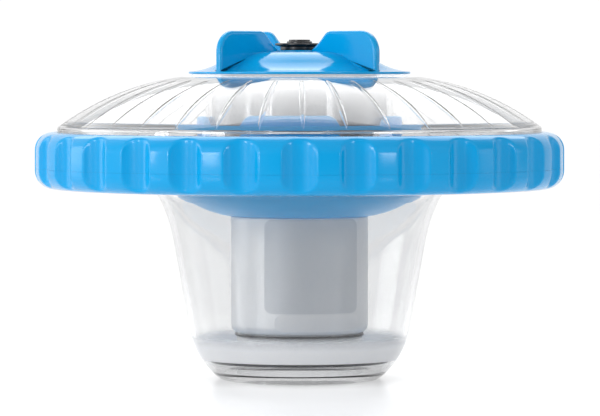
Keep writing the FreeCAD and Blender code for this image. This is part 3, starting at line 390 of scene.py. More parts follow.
# %% Soft corners
def soften(corners, segments=5):
    """Replaces each corner (x, y, radius) by a round one: points on the circle tangent to both its sides.
    A straight side gets two more points near its ends, so that its shading stays flat."""
    softened = []
    for before, here, after in zip([corners[-1]] + corners[:-1], corners, corners[1:] + corners[:1]):
        if len(here) < 3:
            softened.append(list(here))
            continue
        spot = np.array(here[:2], float)
        back = np.array(before[:2], float) - spot
        ahead = np.array(after[:2], float) - spot
        back_room, ahead_room = np.linalg.norm(back), np.linalg.norm(ahead)
        back, ahead = back / back_room, ahead / ahead_room
        opening = math.acos(np.clip(back @ ahead, -1, 1))
        cut = min(here[2] / math.tan(opening / 2), back_room * 0.45, ahead_room * 0.45)
        first, last = spot + back * cut, spot + ahead * cut
        radius = math.copysign(cut * math.tan(opening / 2), back[0] * ahead[1] - back[1] * ahead[0])
        roomy = min(back_room, ahead_room) > cut * 3
        if roomy:
            softened.append((first + back * min(cut * 0.6, back_room * 0.1)).tolist())
        softened.append(first.tolist())
        softened += arc_to(first, last, -radius, math.degrees(math.pi - opening) / segments)
        if roomy:
            softened.append((last + ahead * min(cut * 0.6, ahead_room * 0.1)).tolist())
    return softened


print("points of a soft square:", len(soften([(0, 0, 1), (9, 0, 1), (9, 9, 1), (0, 9, 1)])))

# %% A surface of revolution
ON_AXIS = 1e-6


def even_turns(count):
    """Evenly spaced angles round a full turn."""
    return np.arange(count) * 2 * math.pi / count


def turned(outline, turns, change=None):
    """Turns an outline of radius and height about Z: a point is at (r cos t, r sin t, z) for each turn t.
    The change, if any, gives new r, z and t from the old ones. An end on the axis closes in one point."""
    path = np.array(outline, float)
    follow = np.roll(path, -1, axis=0)
    area = np.sum(path[:, 0] * follow[:, 1] - follow[:, 0] * path[:, 1]) / 2
    if area < 0:
        path = path[::-1]
    closed = bool((path[:, 0] <= ON_AXIS).any())
    if closed:
        path = np.roll(path, -int(np.flatnonzero(path[:, 0] <= ON_AXIS)[-1]), axis=0)
        if path[1, 0] <= ON_AXIS:
            path = np.roll(path, -1, axis=0)
    inner = path[path[:, 0] > ON_AXIS]
    r, t = np.meshgrid(inner[:, 0], turns, indexing="ij")
    z = np.repeat(inner[:, 1:2], len(turns), axis=1)
    if change:
        r, z, t = change(r, z, t)
    points = np.stack([r * np.cos(t), r * np.sin(t), z], axis=2).reshape(-1, 3)
    rows, columns = r.shape
    i, j = np.meshgrid(np.arange(rows - closed), np.arange(columns), indexing="ij")
    i, j = i.ravel(), j.ravel()
    up, on = (i + 1) % rows, (j + 1) % columns
    quads = np.stack([i * columns + j, i * columns + on, up * columns + on, up * columns + j], axis=1)
    faces = quads.tolist()
    if closed:
        ends = path[path[:, 0] <= ON_AXIS]
        around = np.arange(columns)
        ahead = (around + 1) % columns
        bottom, top = len(points), len(points) + 1
        points = np.vstack([points, [[0, 0, ends[0, 1]], [0, 0, ends[-1, 1]]]])
        last = (rows - 1) * columns
        faces += np.stack([ahead, around, np.full(columns, bottom)], axis=1).tolist()
        faces += np.stack([last + around, last + ahead, np.full(columns, top)], axis=1).tolist()
    return points, faces


print("faces of a disc:", len(turned([(0, 0), (9, 0), (9, 1), (0, 1)], even_turns(12))[1]))

# %% A piece for the frame
def add_piece(name, shape, body, nodes, slot, finish=None):
    """Makes a smooth mesh object in metres, gives it its finish, which is its slot's unless another one is
    named, and hands it to a body of the frame."""
    points, faces = shape
    mesh = bpy.data.meshes.new(name)
    mesh.from_pydata((points * MM).tolist(), [], faces)
    mesh.polygons.foreach_set("use_smooth", np.ones(len(mesh.polygons), bool))
    mesh.materials.append(finishes[finish or slot])
    piece = bpy.data.objects.new(name, mesh)
    bpy.context.scene.collection.objects.link(piece)
    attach(piece, body)
    if nodes:
        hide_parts(*nodes)
    print("%s: %d faces" % (name, len(mesh.polygons)))


# %% [markdown]
# ## The clear bowl
# The lower shell is one clear moulding: a foot ring, a round corner, a side with a little draft and a
# trumpet flare out to its flange. A blown or spun shape would have no flange, so it is turned from a closed
# outline with a real wall, because clear plastic only bends light right when it has two faces.

# %% Turn the bowl
flange_radius, foot, bowl_top = span("clear_bowl")
WALL, FLANGE, FLOOR_UNDERSIDE = 2.4, 2.8, 1.2
outer_foot, outer_side, outer_waist = (33.6, 0.35), (46.6, 22), (53.0, 58)
outer_flare, outer_plate = (58.5, 75.2), (67.5, 81.4)
inner_foot, inner_side, inner_waist = (34.7, FLOOR_UNDERSIDE + WALL), (44.2, 22), (50.6, 58)
inner_flare, inner_plate = (56.3, 76.2), (67.3, outer_plate[1] + WALL)
INNER_CORNER = 30.6
flange_foot = bowl_top - FLANGE
bowl_outline = [
    (0, FLOOR_UNDERSIDE),
    (24.8, FLOOR_UNDERSIDE, 1.0),
    (27.2, foot, 0.8),
    (32.6, foot, 0.8),
    outer_foot,
    *arc_to(outer_foot, outer_side, 33),
    outer_waist,
    *arc_to(outer_waist, outer_flare, -68),
    *arc_to(outer_flare, outer_plate, -11),
    (102, flange_foot),
    (flange_radius, flange_foot, 0.5),
    (flange_radius, bowl_top, 0.5),
    (96, bowl_top, 0.8),
    inner_plate,
    *arc_to(inner_plate, inner_flare, 13.4),
    *arc_to(inner_flare, inner_waist, 70.4),
    inner_side,
    *arc_to(inner_side, inner_foot, -INNER_CORNER),
    (0, inner_foot[1]),
]
bowl = turned(soften(bowl_outline), even_turns(256))
add_piece("bowl_shell", bowl, "float", ["clear_bowl"], "clear_shell")

# %% [markdown]
# ## The frosted reflector
# The lamp shines down through a cup of frosted, milky plastic that presses against the bowl's wall. A gap of
# air behind clear plastic would show as a bright rim, so its skirt is sunk a hair into the wall and follows
# the wall's curve. The frosting thins out towards the upper edge, which the material does with Alpha. A dull
# silver collar on the foot of the can shows through the skirt as a soft shadow. A thin black ring just under
# the can's edge is painted shade: it shows as a dark line where the can's edge throws its shadow.

# %% Turn the cup
_, dish_foot, dish_top = span("reflector")
board_radius, board_foot, _ = span("led_board")
CONTACT, SKIRT, SKIRT_RISE, SKIRT_LEVELS = 0.12, 0.9, 1.6, 14


def wall_radius(z):
    """Inner radius of the bowl at some heights in its round corner."""
    corner = np.array(arc_to(inner_side, inner_foot, -INNER_CORNER, step=1.0)[:-1])[::-1]
    return np.interp(z, corner[:, 1], corner[:, 0])


levels = np.linspace(dish_foot + 0.3, dish_top + SKIRT_RISE, SKIRT_LEVELS)
skirt_side = np.stack([wall_radius(levels) + CONTACT, levels], axis=1)
low_edge = skirt_side[0, 0] - 0.1
cup_outline = [
    (board_radius + 0.3, board_foot + 0.9, 0.3),
    (board_radius + 0.3, board_foot, 0.3),
    (low_edge - 2.0, dish_foot, 0.4),
    (low_edge, dish_foot),
    *skirt_side.tolist(),
    *(skirt_side[::-1] - (SKIRT, 0)).tolist()[:-1],
    (low_edge - 1.8, dish_foot + 1.0, 0.6),
]
cup = turned(soften(cup_outline), even_turns(180))
add_piece("milky_cup", cup, "float", ["reflector"], "reflector_plastic")

# %% Turn the collar and the painted shadow line
COLLAR_RADIUS, COLLAR_WALL, COLLAR_DROP = 26.3, 1.6, 6.0
SHADOW_LINE_WIDTH, SHADOW_LINE_HEIGHT, UNDER_CAN_GAP = 0.8, 0.7, 0.05
under_can = dish_top - UNDER_CAN_GAP
collar_outline = [
    (COLLAR_RADIUS - COLLAR_WALL, under_can),
    (COLLAR_RADIUS - COLLAR_WALL, dish_top - COLLAR_DROP, 0.3),
    (COLLAR_RADIUS, dish_top - COLLAR_DROP, 0.5),
    (COLLAR_RADIUS, under_can),
]
collar = turned(soften(collar_outline), even_turns(120))
add_piece("can_collar", collar, "float", [], "silver_plastic")
# Painted shade: a thin black ring just under the can's edge, standing for the shadow there.
shadow_line_outline = [
    (COLLAR_RADIUS + 0.02, under_can - SHADOW_LINE_HEIGHT),
    (COLLAR_RADIUS + SHADOW_LINE_WIDTH, under_can - SHADOW_LINE_HEIGHT, 0.25),
    (COLLAR_RADIUS + SHADOW_LINE_WIDTH, under_can, 0.25),
    (COLLAR_RADIUS + 0.02, under_can),
]
shadow_line = turned(soften(shadow_line_outline), even_turns(120))
add_piece("can_shadow_line", shadow_line, "float", [], "black_plastic")

# %% [markdown]
# ## The clear dome
# The upper shell has a neck for the cell housing, a flat land for the knob's gasket, a crowned roof that
# starts a small step below it, a tight corner and a flange. Thirty-six leaf-shaped flutes run down the roof.
# They could be cut with booleans, which leaves ragged edges on a clear part. Here the grid itself follows
# the leaves: its lines gather between the two edges of each leaf, so the edges come out as clean as on the
# moulding.

# %% Outline of the dome
neck_foot, dome_top = span("clear_dome")[1:]
dome_flange = span("shell_seal")[2]
DOME_RADIUS, DOME_WALL, DOME_EDGE, DOME_ARC, SKIRT_HEIGHT = 101.6, 2.2, 1.6, 112.0, 15.0
NECK, NECK_BORE, LAND, LAND_SLOPE = 39.5, 37.5, 48.0, 0.7
BEAD_FOOT, BEAD_TOP, BEAD_DEPTH, BEAD_SLOPE = 103.9, 105.5, 0.8, 0.2
EDGE_SINE, EDGE_COSINE = math.sin(math.radians(36)), math.cos(math.radians(36))
skirt_top, roof = dome_flange + SKIRT_HEIGHT, dome_top - LAND_STEP
edge_x = DOME_RADIUS - DOME_EDGE + DOME_EDGE * EDGE_SINE
edge_z = skirt_top + DOME_EDGE * EDGE_COSINE
inner_x = DOME_RADIUS - DOME_WALL - 0.15
inner_z = edge_z - (DOME_WALL + (inner_x - edge_x) * EDGE_SINE) / EDGE_COSINE
inner_crown, inner_edge = (LAND, roof - DOME_WALL), (inner_x, inner_z)
outer_skirt, outer_edge, outer_crown = (DOME_RADIUS, skirt_top), (edge_x, edge_z), (LAND + LAND_SLOPE, roof)
dome_outline = [
    (NECK_BORE, neck_foot, 0.4),
    (NECK, neck_foot, 0.4),
    (NECK, BEAD_FOOT, 0.2),
    (NECK + BEAD_DEPTH, BEAD_FOOT + BEAD_SLOPE, 0.2),
    (NECK + BEAD_DEPTH, BEAD_TOP - BEAD_SLOPE, 0.2),
    (NECK, BEAD_TOP, 0.2),
    (NECK, roof - DOME_WALL, 0.8),
    inner_crown,
    *arc_to(inner_crown, inner_edge, DOME_WALL - DOME_ARC, step=2.4),
    (DOME_RADIUS - DOME_WALL, inner_z - 0.5),
    (DOME_RADIUS - DOME_WALL, dome_flange, 0.3),
    (flange_radius, dome_flange, 0.4),
    (flange_radius, dome_flange + FLANGE, 0.4),
    (DOME_RADIUS, dome_flange + FLANGE, 0.6),
    outer_skirt,
    *arc_to(outer_skirt, outer_edge, DOME_EDGE, step=9),
    *arc_to(outer_edge, (*outer_crown, 0.3), DOME_ARC, step=0.8),
    (LAND, dome_top, 0.2),
    (NECK_BORE, dome_top, 0.5),
]
print("dome: skirt up to %.1f mm, roof up to %.1f mm" % (skirt_top, roof))

# %% Lines of the grid
FLUTES = 36
LEAF_SHARE, LEAF_STEPS, ROOF_STEPS, BESIDE_LEAF = 0.3, 8, 8, 0.012
flute_turn = math.radians(-90 + 0.8)
flute_pitch = 2 * math.pi / FLUTES


def flute_turns():
    """A pitch is cut into steps: some across the leaf, closest at its edges, and the rest over the plain
    roof, the first and last of them close beside the leaf, so that the roof keeps its own shading there."""
    leaf = np.sin(np.linspace(-1, 1, LEAF_STEPS + 1) * math.pi / 2) * LEAF_SHARE / 2
    first, last = LEAF_SHARE / 2 + BESIDE_LEAF, 1 - LEAF_SHARE / 2 - BESIDE_LEAF
    steps = np.append(leaf, np.linspace(first, last, ROOF_STEPS))
    return (flute_turn + (np.arange(FLUTES)[:, None] + steps[None, :]) * flute_pitch).ravel()


print("grid lines round the dome:", len(flute_turns()))

# %% Sink the leaves into the roof
FLUTE_DEPTH, FLUTE_WIDTH, FLUTE_TOP, FLUTE_TIP, TOP_END = 0.2, 2.26, 58.5, 101.2, 0.06


def leaf_width(r):
    """Half the width of a leaf: a quarter ellipse at its top end, then 0.85 + 0.3 a - 1.15 a^6 of the half
    width, where a runs from 0 to 1 down the leaf: edges that spread a little and then meet in a point."""
    along = np.clip((r - FLUTE_TOP) / (FLUTE_TIP - FLUTE_TOP), 0, 1)
    top_end = np.sqrt(np.clip(1 - (1 - np.clip(along / TOP_END, 0, 1)) ** 2, 0, 1))
    return FLUTE_WIDTH / 2 * top_end * (0.85 + 0.3 * along - 1.15 * along ** 6)


def roof_level(r):
    """Height of the roof's outer face, a circle through its edge and its crown."""
    half_x, half_z = (edge_x - LAND) / 2, (edge_z - roof) / 2
    reach = math.sqrt(DOME_ARC ** 2 - half_x ** 2 - half_z ** 2) / math.hypot(half_x, half_z)
    centre_x = LAND + half_x + half_z * reach
    centre_z = roof + half_z - half_x * reach
    return centre_z + np.sqrt(DOME_ARC ** 2 - (np.clip(r, LAND, edge_x) - centre_x) ** 2)


def flute(r, z, t):
    """Squeezes the leaf's share of each pitch to the leaf's own width, and sinks it with a flat floor and
    steep edges: depth * (1 - s^6), where s runs from -1 to 1 across the leaf."""
    share = np.mod((t - flute_turn) / flute_pitch + 0.5, 1) - 0.5
    half = np.maximum(leaf_width(r), 0.02) / r / flute_pitch
    outside = (z > skirt_top) & (r > LAND + 1) & (z > roof_level(r) - 1)
    in_leaf = np.abs(share) <= LEAF_SHARE / 2 + 1e-6
    stretch = (0.5 - half) / (0.5 - LEAF_SHARE / 2)
    beside = np.sign(share) * (0.5 - (0.5 - np.abs(share)) * stretch)
    squeezed = np.where(in_leaf, share / (LEAF_SHARE / 2) * half, beside)
    turned_to = t + (squeezed - share) * flute_pitch
    across = np.clip(np.abs(share) / (LEAF_SHARE / 2), 0, 1)
    depth = FLUTE_DEPTH * (leaf_width(r) / (FLUTE_WIDTH / 2)) * (1 - across ** 6)
    return r, z - np.where(outside, depth, 0), np.where(outside, turned_to, t)


dome = turned(soften(dome_outline, segments=3), flute_turns(), flute)
add_piece("dome_shell", dome, "float", ["clear_dome"], "clear_shell")

# %% [markdown]
# ## The grip ring
# Two halves are closed round both flanges for good, and thirty finger scallops run round the outside. Each
# scallop is a round cutter's mark, so the outside radius is the smaller of the ring's own and the cutter's,
# and a smooth minimum leaves the soft edge that a mould needs.

# %% Scallops
ring_radius, _, ring_top = span("grip_ring_upper")
SCALLOPS, SCALLOP_STEPS, SCALLOP_DEPTH, SCALLOP_ARC, SCALLOP_REACH = 30, 48, 3.5, 9.26, 9
EDGE_BLEND = 0.55
cutter_place = ring_radius - SCALLOP_DEPTH + SCALLOP_ARC


def scallop(r, z, t):
    """The radius is the soft minimum of the outline's and of the near side of a round cutter,
    C cos f - sqrt(a^2 - C^2 sin^2 f), with f the angle from the nearest scallop."""
    pitch = 2 * math.pi / SCALLOPS
    off = np.mod(t + math.pi / 2 + pitch / 2, pitch) - pitch / 2
    inside = SCALLOP_ARC ** 2 - (cutter_place * np.sin(off)) ** 2
    root = np.sqrt(np.abs(inside))
    cut = cutter_place * np.cos(off) - np.where(inside > 0, root, -root)
    gap = np.clip(0.5 + (cut - r) / (2 * EDGE_BLEND), 0, 1)
    soft = cut * (1 - gap) + r * gap - EDGE_BLEND * gap * (1 - gap)
    return np.where(r > ring_radius - SCALLOP_REACH, soft, r), z, t


print("a scallop every %.0f degrees" % (360 / SCALLOPS))

# %% Halves of the ring
ring_foot, seam = span("grip_ring_lower")[1:]
RING_ROUND, RING_BORE, GROOVE_GAP, LIP_GAP = 7.5, 102.0, 0.4, 0.1
SEAM_GAP, SEAM_EDGE = 0.015, 0.07
upper_side, upper_face = (ring_radius, ring_top - RING_ROUND), (ring_radius - RING_ROUND, ring_top)
lower_side, lower_face = (ring_radius, ring_foot + RING_ROUND), (ring_radius - RING_ROUND, ring_foot)
groove, groove_top = flange_radius + GROOVE_GAP, dome_flange + FLANGE + LIP_GAP
upper_outline = [
    (groove, seam + SEAM_GAP),
    (ring_radius, seam + SEAM_GAP, SEAM_EDGE),
    upper_side,
    *arc_to(upper_side, upper_face, RING_ROUND, step=9),
    (RING_BORE, ring_top, 0.6),
    (RING_BORE, groove_top, 0.3),
    (groove, groove_top),
]
lower_outline = [
    (RING_BORE, ring_foot, 0.6),
    lower_face,
    *arc_to(lower_face, lower_side, RING_ROUND, step=9),
    (ring_radius, seam - SEAM_GAP, SEAM_EDGE),
    (groove, seam - SEAM_GAP),
    (groove, flange_foot),
    (RING_BORE, flange_foot, 0.3),
]
for half, outline in {"upper": upper_outline, "lower": lower_outline}.items():
    shape = turned(soften(outline), even_turns(SCALLOPS * SCALLOP_STEPS), scallop)
    add_piece("ring_" + half, shape, "float", ["grip_ring_" + half], "blue_plastic")

# %% [markdown]
# ## The can
# The driver sits in a sprayed can with a round foot and a small shoulder. Drawing would leave the same shape
# in sheet metal, and here it is one more turned outline. The label and the strip lie on it as they were
# packed.

# %% Turn the can
can_radius, can_foot, can_top = span("driver_canister")
CAN_WALL, CAN_CORNER, SHOULDER = 1.8, 4.0, 1.2
can_base, can_side = (can_radius - CAN_CORNER, can_foot), (can_radius, can_foot + CAN_CORNER)
can_outline = [
    (0, can_foot),
    can_base,
    *arc_to(can_base, can_side, CAN_CORNER, step=7),
    (can_radius, can_top - SHOULDER, 0.5),
    (can_radius - SHOULDER, can_top, 0.4),
    (can_radius - CAN_WALL, can_top, 0.2),
    (can_radius - CAN_WALL, can_foot + CAN_WALL),
    (0, can_foot + CAN_WALL),
]
can = turned(soften(can_outline), even_turns(160))
add_piece("silver_can", can, "float", ["driver_canister"], "silver_plastic")

# %% [markdown]
# ## The carrier
# Above the can hangs a coloured bucket with a dished floor. Its collar holds the neck of the dome with four
# clips. Four posts between the clips carry the screws, which end in clear bosses on the neck. The clips are
# pieces of one ring with round upper corners, so their outline is swept through a part of a turn and its top
# is lowered near both ends.

# %% Turn the bucket
carrier_top = span("carrier")[2]
seat_top = span("battery_housing")[1]
BUCKET_BORE, CARRIER_RIM, RIM_WIDTH, RIM_LEVEL = 19.9, 52.5, 2.2, 103.0
DISH_START, DISH_DROP, DISH_ARC = 30.4, 0.7, 48
FLOOR_EDGE, FLOOR_LEVEL = 51.2, 78.6
INSIDE_EDGE, INSIDE_LEVEL, COLLAR_LEVEL = 47.8, 80.4, 77.6
COLLAR, CLIP_THICKNESS = NECK + 0.3, 3.2
dish_start, dish_end = (DISH_START, can_top - DISH_DROP, 0.5), (FLOOR_EDGE, FLOOR_LEVEL, 1.5)
bucket_outline = [
    (BUCKET_BORE, can_top),
    dish_start,
    *arc_to(dish_start, dish_end, DISH_ARC, step=2),
    (CARRIER_RIM, RIM_LEVEL, 0.6),
    (CARRIER_RIM - RIM_WIDTH, RIM_LEVEL, 0.6),
    (INSIDE_EDGE, INSIDE_LEVEL, 1.5),
    (COLLAR + CLIP_THICKNESS, COLLAR_LEVEL, 0.8),
    (COLLAR + CLIP_THICKNESS, neck_foot, 0.4),
    (NECK - 1.5, neck_foot, 0.4),
    (NECK - 1.5, seat_top),
    (BUCKET_BORE, seat_top),
]
bucket = turned(soften(bucket_outline), even_turns(180))
add_piece("carrier_bucket", bucket, "float", ["carrier"], "blue_plastic", "carrier_plastic")

# %% Sweep the clips
CLIP_CORNER, CLIP_STEPS, CLIP_TURN, CLIP_HALF = 5.0, 49, math.radians(-96), math.radians(28.5)


def grid_faces(rows, columns):
    """Faces of a tube whose rows go round it and whose columns go along it, with a cap on both ends."""
    i, j = np.meshgrid(np.arange(rows), np.arange(columns - 1), indexing="ij")
    i, j = i.ravel(), j.ravel()
    up = (i + 1) % rows
    sides = np.stack([i * columns + j, i * columns + j + 1, up * columns + j + 1, up * columns + j], axis=1)
    first = np.arange(rows) * columns
    return sides.tolist() + [first.tolist(), (first + columns - 1)[::-1].tolist()]


def joined(shapes):
    """Puts several shapes into one: all their points, and each shape's faces shifted to its own points."""
    starts = np.cumsum([0] + [len(points) for points, _ in shapes])
    faces = []
    for start, (_, sides) in zip(starts, shapes):
        faces += [[int(start + corner) for corner in side] for side in sides]
    return np.vstack([points for points, _ in shapes]), faces


def clip(outline, middle):
    """Carries the outline of radius and height through part of a turn. The top is lowered near both ends by
    a circle: c - sqrt(c^2 - (c - d)^2), where d is the distance from the end."""
    path = np.array(outline, float)
    turns = middle + np.sin(np.linspace(-1, 1, CLIP_STEPS) * math.pi / 2) * CLIP_HALF
    r, t = np.meshgrid(path[:, 0], turns, indexing="ij")
    z = np.repeat(path[:, 1:2], CLIP_STEPS, axis=1)
    from_end = np.clip((CLIP_HALF - np.abs(t - middle)) * COLLAR, 0, CLIP_CORNER)
    drop = CLIP_CORNER - np.sqrt(CLIP_CORNER ** 2 - (CLIP_CORNER - from_end) ** 2)
    z = z - drop * (z - neck_foot) / (carrier_top - neck_foot)
    return np.stack([r * np.cos(t), r * np.sin(t), z], axis=2).reshape(-1, 3), grid_faces(*r.shape)


clip_outline = soften([
    (COLLAR, neck_foot - 0.5),
    (COLLAR + CLIP_THICKNESS, neck_foot - 0.5),
    (COLLAR + CLIP_THICKNESS, carrier_top, 1.0),
    (COLLAR, carrier_top, 1.0),
])
clips = [clip(clip_outline, CLIP_TURN + quarter * math.pi / 2) for quarter in range(4)]
add_piece("carrier_clips", joined(clips), "float", [], "blue_plastic", "carrier_plastic")

# %% Posts and bosses
POST_CIRCLE, POST_RADIUS, POST_TURN = 43.4, 3.3, CLIP_TURN + math.pi / 4
BOSS_RADIUS, BOSS_TOP_RADIUS, BOSS_HEIGHT, BOSS_GAP = 3.0, 2.8, 11.5, 0.05


def four_round(outline):
    """Four turned pins on the posts' circle, a quarter turn apart."""
    points, faces = turned(soften(outline), even_turns(32))
    turns = POST_TURN + np.arange(4) * math.pi / 2
    places = POST_CIRCLE * np.stack([np.cos(turns), np.sin(turns), np.zeros(4)], axis=1)
    return joined([(points + place, faces) for place in places])


post_outline = [
    (0, FLOOR_LEVEL),
    (POST_RADIUS, FLOOR_LEVEL),
    (POST_RADIUS, neck_foot, 0.4),
    (0, neck_foot),
]
add_piece("carrier_posts", four_round(post_outline), "float", [], "blue_plastic", "carrier_plastic")
boss_outline = [
    (0, neck_foot + BOSS_GAP),
    (BOSS_RADIUS, neck_foot + BOSS_GAP, 0.3),
    (BOSS_TOP_RADIUS, neck_foot + BOSS_HEIGHT, 0.8),
    (0, neck_foot + BOSS_HEIGHT),
]
add_piece("neck_bosses", four_round(boss_outline), "float", [], "clear_shell")

# %% [markdown]
# ## The knob
# The knob is a low bell with a thin rim and four wings to grip, set round the button like a pinwheel. The
# bell is turned. A wing is a flat plate whose free edges are round, so it is built from layers of one
# outline, each set in a little more towards its faces, and its foot is buried in the bell.

# %% Turn the bell
knob_radius, knob_foot, wing_top = span("knob")
button_seat = span("power_button")[1]
PLATEAU, PLATEAU_RADIUS, BUSH_BORE, SEAT_RADIUS = dome_top + 9.4, 19.0, 8.2, 11.0
BELL, BELL_RADIUS, BELL_ARC, KNOB_WALL = dome_top + 4.9, 33.5, 22.5, 2.4
SLEEVE, SLEEVE_WALL, RIM_ARC, RIM_LIP = 34.4, 2.2, 30, 1.1
rim_foot, rim_inside, rim_top = dome_top + 0.1, dome_top + 0.9, dome_top + 1.1
inner_plateau, inner_bell = (PLATEAU_RADIUS, PLATEAU - KNOB_WALL), (SLEEVE - SLEEVE_WALL, BELL - 2.0)
outer_rim, outer_bell = (knob_radius, rim_top, 0.35), (BELL_RADIUS, BELL)
outer_plateau = (PLATEAU_RADIUS, PLATEAU)
bell_outline = [
    (BUSH_BORE, PLATEAU - KNOB_WALL),
    inner_plateau,
    *arc_to(inner_plateau, inner_bell, -BELL_ARC),
    (SLEEVE - SLEEVE_WALL, knob_foot, 0.5),
    (SLEEVE, knob_foot, 0.5),
    (SLEEVE, rim_inside),
    (knob_radius - RIM_LIP, rim_inside),
    (knob_radius - RIM_LIP, rim_foot, 0.2),
    (knob_radius, rim_foot, 0.35),
    outer_rim,
    *arc_to(outer_rim, outer_bell, -RIM_ARC, step=2),
    *arc_to(outer_bell, outer_plateau, BELL_ARC, step=3),
    (SEAT_RADIUS, PLATEAU, 0.2),
    (SEAT_RADIUS, button_seat, 0.3),
    (BUSH_BORE, button_seat, 0.3),
]
bell = turned(soften(bell_outline), even_turns(200))
add_piece("knob_bell", bell, "knob", ["knob"], "blue_plastic")

# %% Outline of a wing
WING_OFFSET, WING_THICKNESS, WING_CORNER, WING_YAW, WING_EDGE = 3.5, 3.0, 8.8, 3.0, 1.0
CREST, CREST_ARC, WAIST_ARC, BURIED = 21.5, 5.0, 30.13, 1.9
STEEP, SLACK = math.radians(50), math.radians(33)
wing_end = math.sqrt(knob_radius ** 2 - (WING_OFFSET + WING_THICKNESS / 2) ** 2)
buried_plateau, buried_bell = (PLATEAU_RADIUS, PLATEAU - BURIED), (BELL_RADIUS, BELL - BURIED)
wing_side, wing_shoulder = (wing_end, wing_top - WING_CORNER), (wing_end - WING_CORNER, wing_top)
crest = (CREST, wing_top)
crest_end = (CREST - CREST_ARC * math.sin(STEEP), wing_top - CREST_ARC * (1 - math.cos(STEEP)))
waist_end = (SEAT_RADIUS, crest_end[1] - WAIST_ARC * (math.cos(SLACK) - math.cos(STEEP)))
wing_outline = [
    (SEAT_RADIUS, PLATEAU - BURIED),
    buried_plateau,
    *arc_to(buried_plateau, buried_bell, -BELL_ARC),
    (wing_end, dome_top + 0.3, 0.3),
    wing_side,
    *arc_to(wing_side, wing_shoulder, WING_CORNER, step=6),
    crest,
    *arc_to(crest, crest_end, CREST_ARC, step=10),
    *arc_to(crest_end, waist_end, -WAIST_ARC),
]
print("a wing reaches from %.1f to %.1f mm" % (SEAT_RADIUS, wing_end))

# %% Wings with round edges
def inset(path, depth):
    """Moves the points of a closed outline inwards, along the mean of the normals of their two sides."""
    ahead = np.roll(path, -1, axis=0) - path
    normal = np.stack([ahead[:, 1], -ahead[:, 0]], axis=1)
    normal /= np.linalg.norm(normal, axis=1, keepdims=True)
    mean = normal + np.roll(normal, 1, axis=0)
    mean /= np.maximum((mean * mean).sum(axis=1, keepdims=True) / 2, 0.6)
    return path - mean * depth


def plate(outline, thickness, edge):
    """A flat plate from its outline, leftwards and up: its layers across are set in by a quarter circle,
    edge * (1 - cos a), where a runs from -90 to 90 degrees. Gives points as along, across, up."""
    path = np.array(outline, float)
    quarter = np.radians([90, 90, 60, 30, 0])
    a = np.concatenate([-quarter, quarter[::-1]])
    side = np.repeat([-1, 1], len(quarter))
    depths = edge * (1 - np.cos(a))
    depths[[0, -1]] += edge * 0.4
    across = side * (thickness / 2 - edge) + edge * np.sin(a)
    layers = np.stack([inset(path, depth) for depth in depths], axis=1)
    beside = np.broadcast_to(across[None, :], layers.shape[:2])
    points = np.stack([layers[:, :, 0], beside, layers[:, :, 1]], axis=2).reshape(-1, 3)
    return points, grid_faces(len(path), len(a))


def wing(turn):
    """A plate whose middle plane passes beside the axis, turned about Z."""
    points, faces = plate(soften(wing_outline), WING_THICKNESS, WING_EDGE)
    along = np.array([math.cos(turn), math.sin(turn), 0])
    beside = np.array([math.sin(turn), -math.cos(turn), 0])
    up = np.array([0, 0, 1])
    x, y, z = points.T[:, :, None]
    return x * along + (WING_OFFSET - y) * beside + z * up, faces


wings = [wing(math.radians(45 + WING_YAW + 90 * quarter)) for quarter in range(4)]
add_piece("knob_wings", joined(wings), "knob", [], "blue_plastic")

# %% [markdown]
# ## The push button
# A black bush with a broad flange stands in the middle of the knob, and the button in it has two tiers. Both
# are small turned parts with soft edges, which is what makes black plastic readable: only the edges catch
# light.

# %% Turn the bush and the button
bush_radius, bush_foot, bush_top = span("button_bezel")
button_radius, _, button_top = span("power_button")
BUTTON_GAP, BUSH_STEM, BUSH_FLANGE, BUSH_TAPER = 0.08, 8.1, 0.95, 0.45
TIER_RADIUS, TIER_HEIGHT = 4.5, 0.7
bush_bore = button_radius + BUTTON_GAP
bush_outline = [
    (bush_bore, bush_foot),
    (BUSH_STEM, bush_foot),
    (BUSH_STEM, bush_top - BUSH_FLANGE - BUSH_TAPER, 0.3),
    (bush_radius, bush_top - BUSH_FLANGE, 0.35),
    (bush_radius, bush_top, 0.45),
    (bush_bore, bush_top, 0.3),
]
bush = turned(soften(bush_outline), even_turns(96))
add_piece("black_bush", bush, "knob", ["button_bezel"], "black_plastic")
button_outline = [
    (0, button_seat),
    (button_radius, button_seat),
    (button_radius, button_top - TIER_HEIGHT, 0.35),
    (TIER_RADIUS, button_top - TIER_HEIGHT, 0.1),
    (TIER_RADIUS, button_top, 0.3),
    (0, button_top),
]
button = turned(soften(button_outline), even_turns(96))
add_piece("black_button", button, "button", ["power_button"], "black_plastic")

# %% [markdown]
# ## The studio
# A product shot on white: a pale glossy table, a white surround, and soft boxes left, right and above. The
# table is milky acrylic that is lit from below. It is one flat face, and its glow is a ramp of the distance
# from the object, because light from a lamp under it would take many samples to get through. The ramp paints
# light and shade: it is brightest round the object, where it fills in the object's shadow, and it dips right
# under the foot as a painted shadow.

# %% The table
TABLE_HALF = 6.0


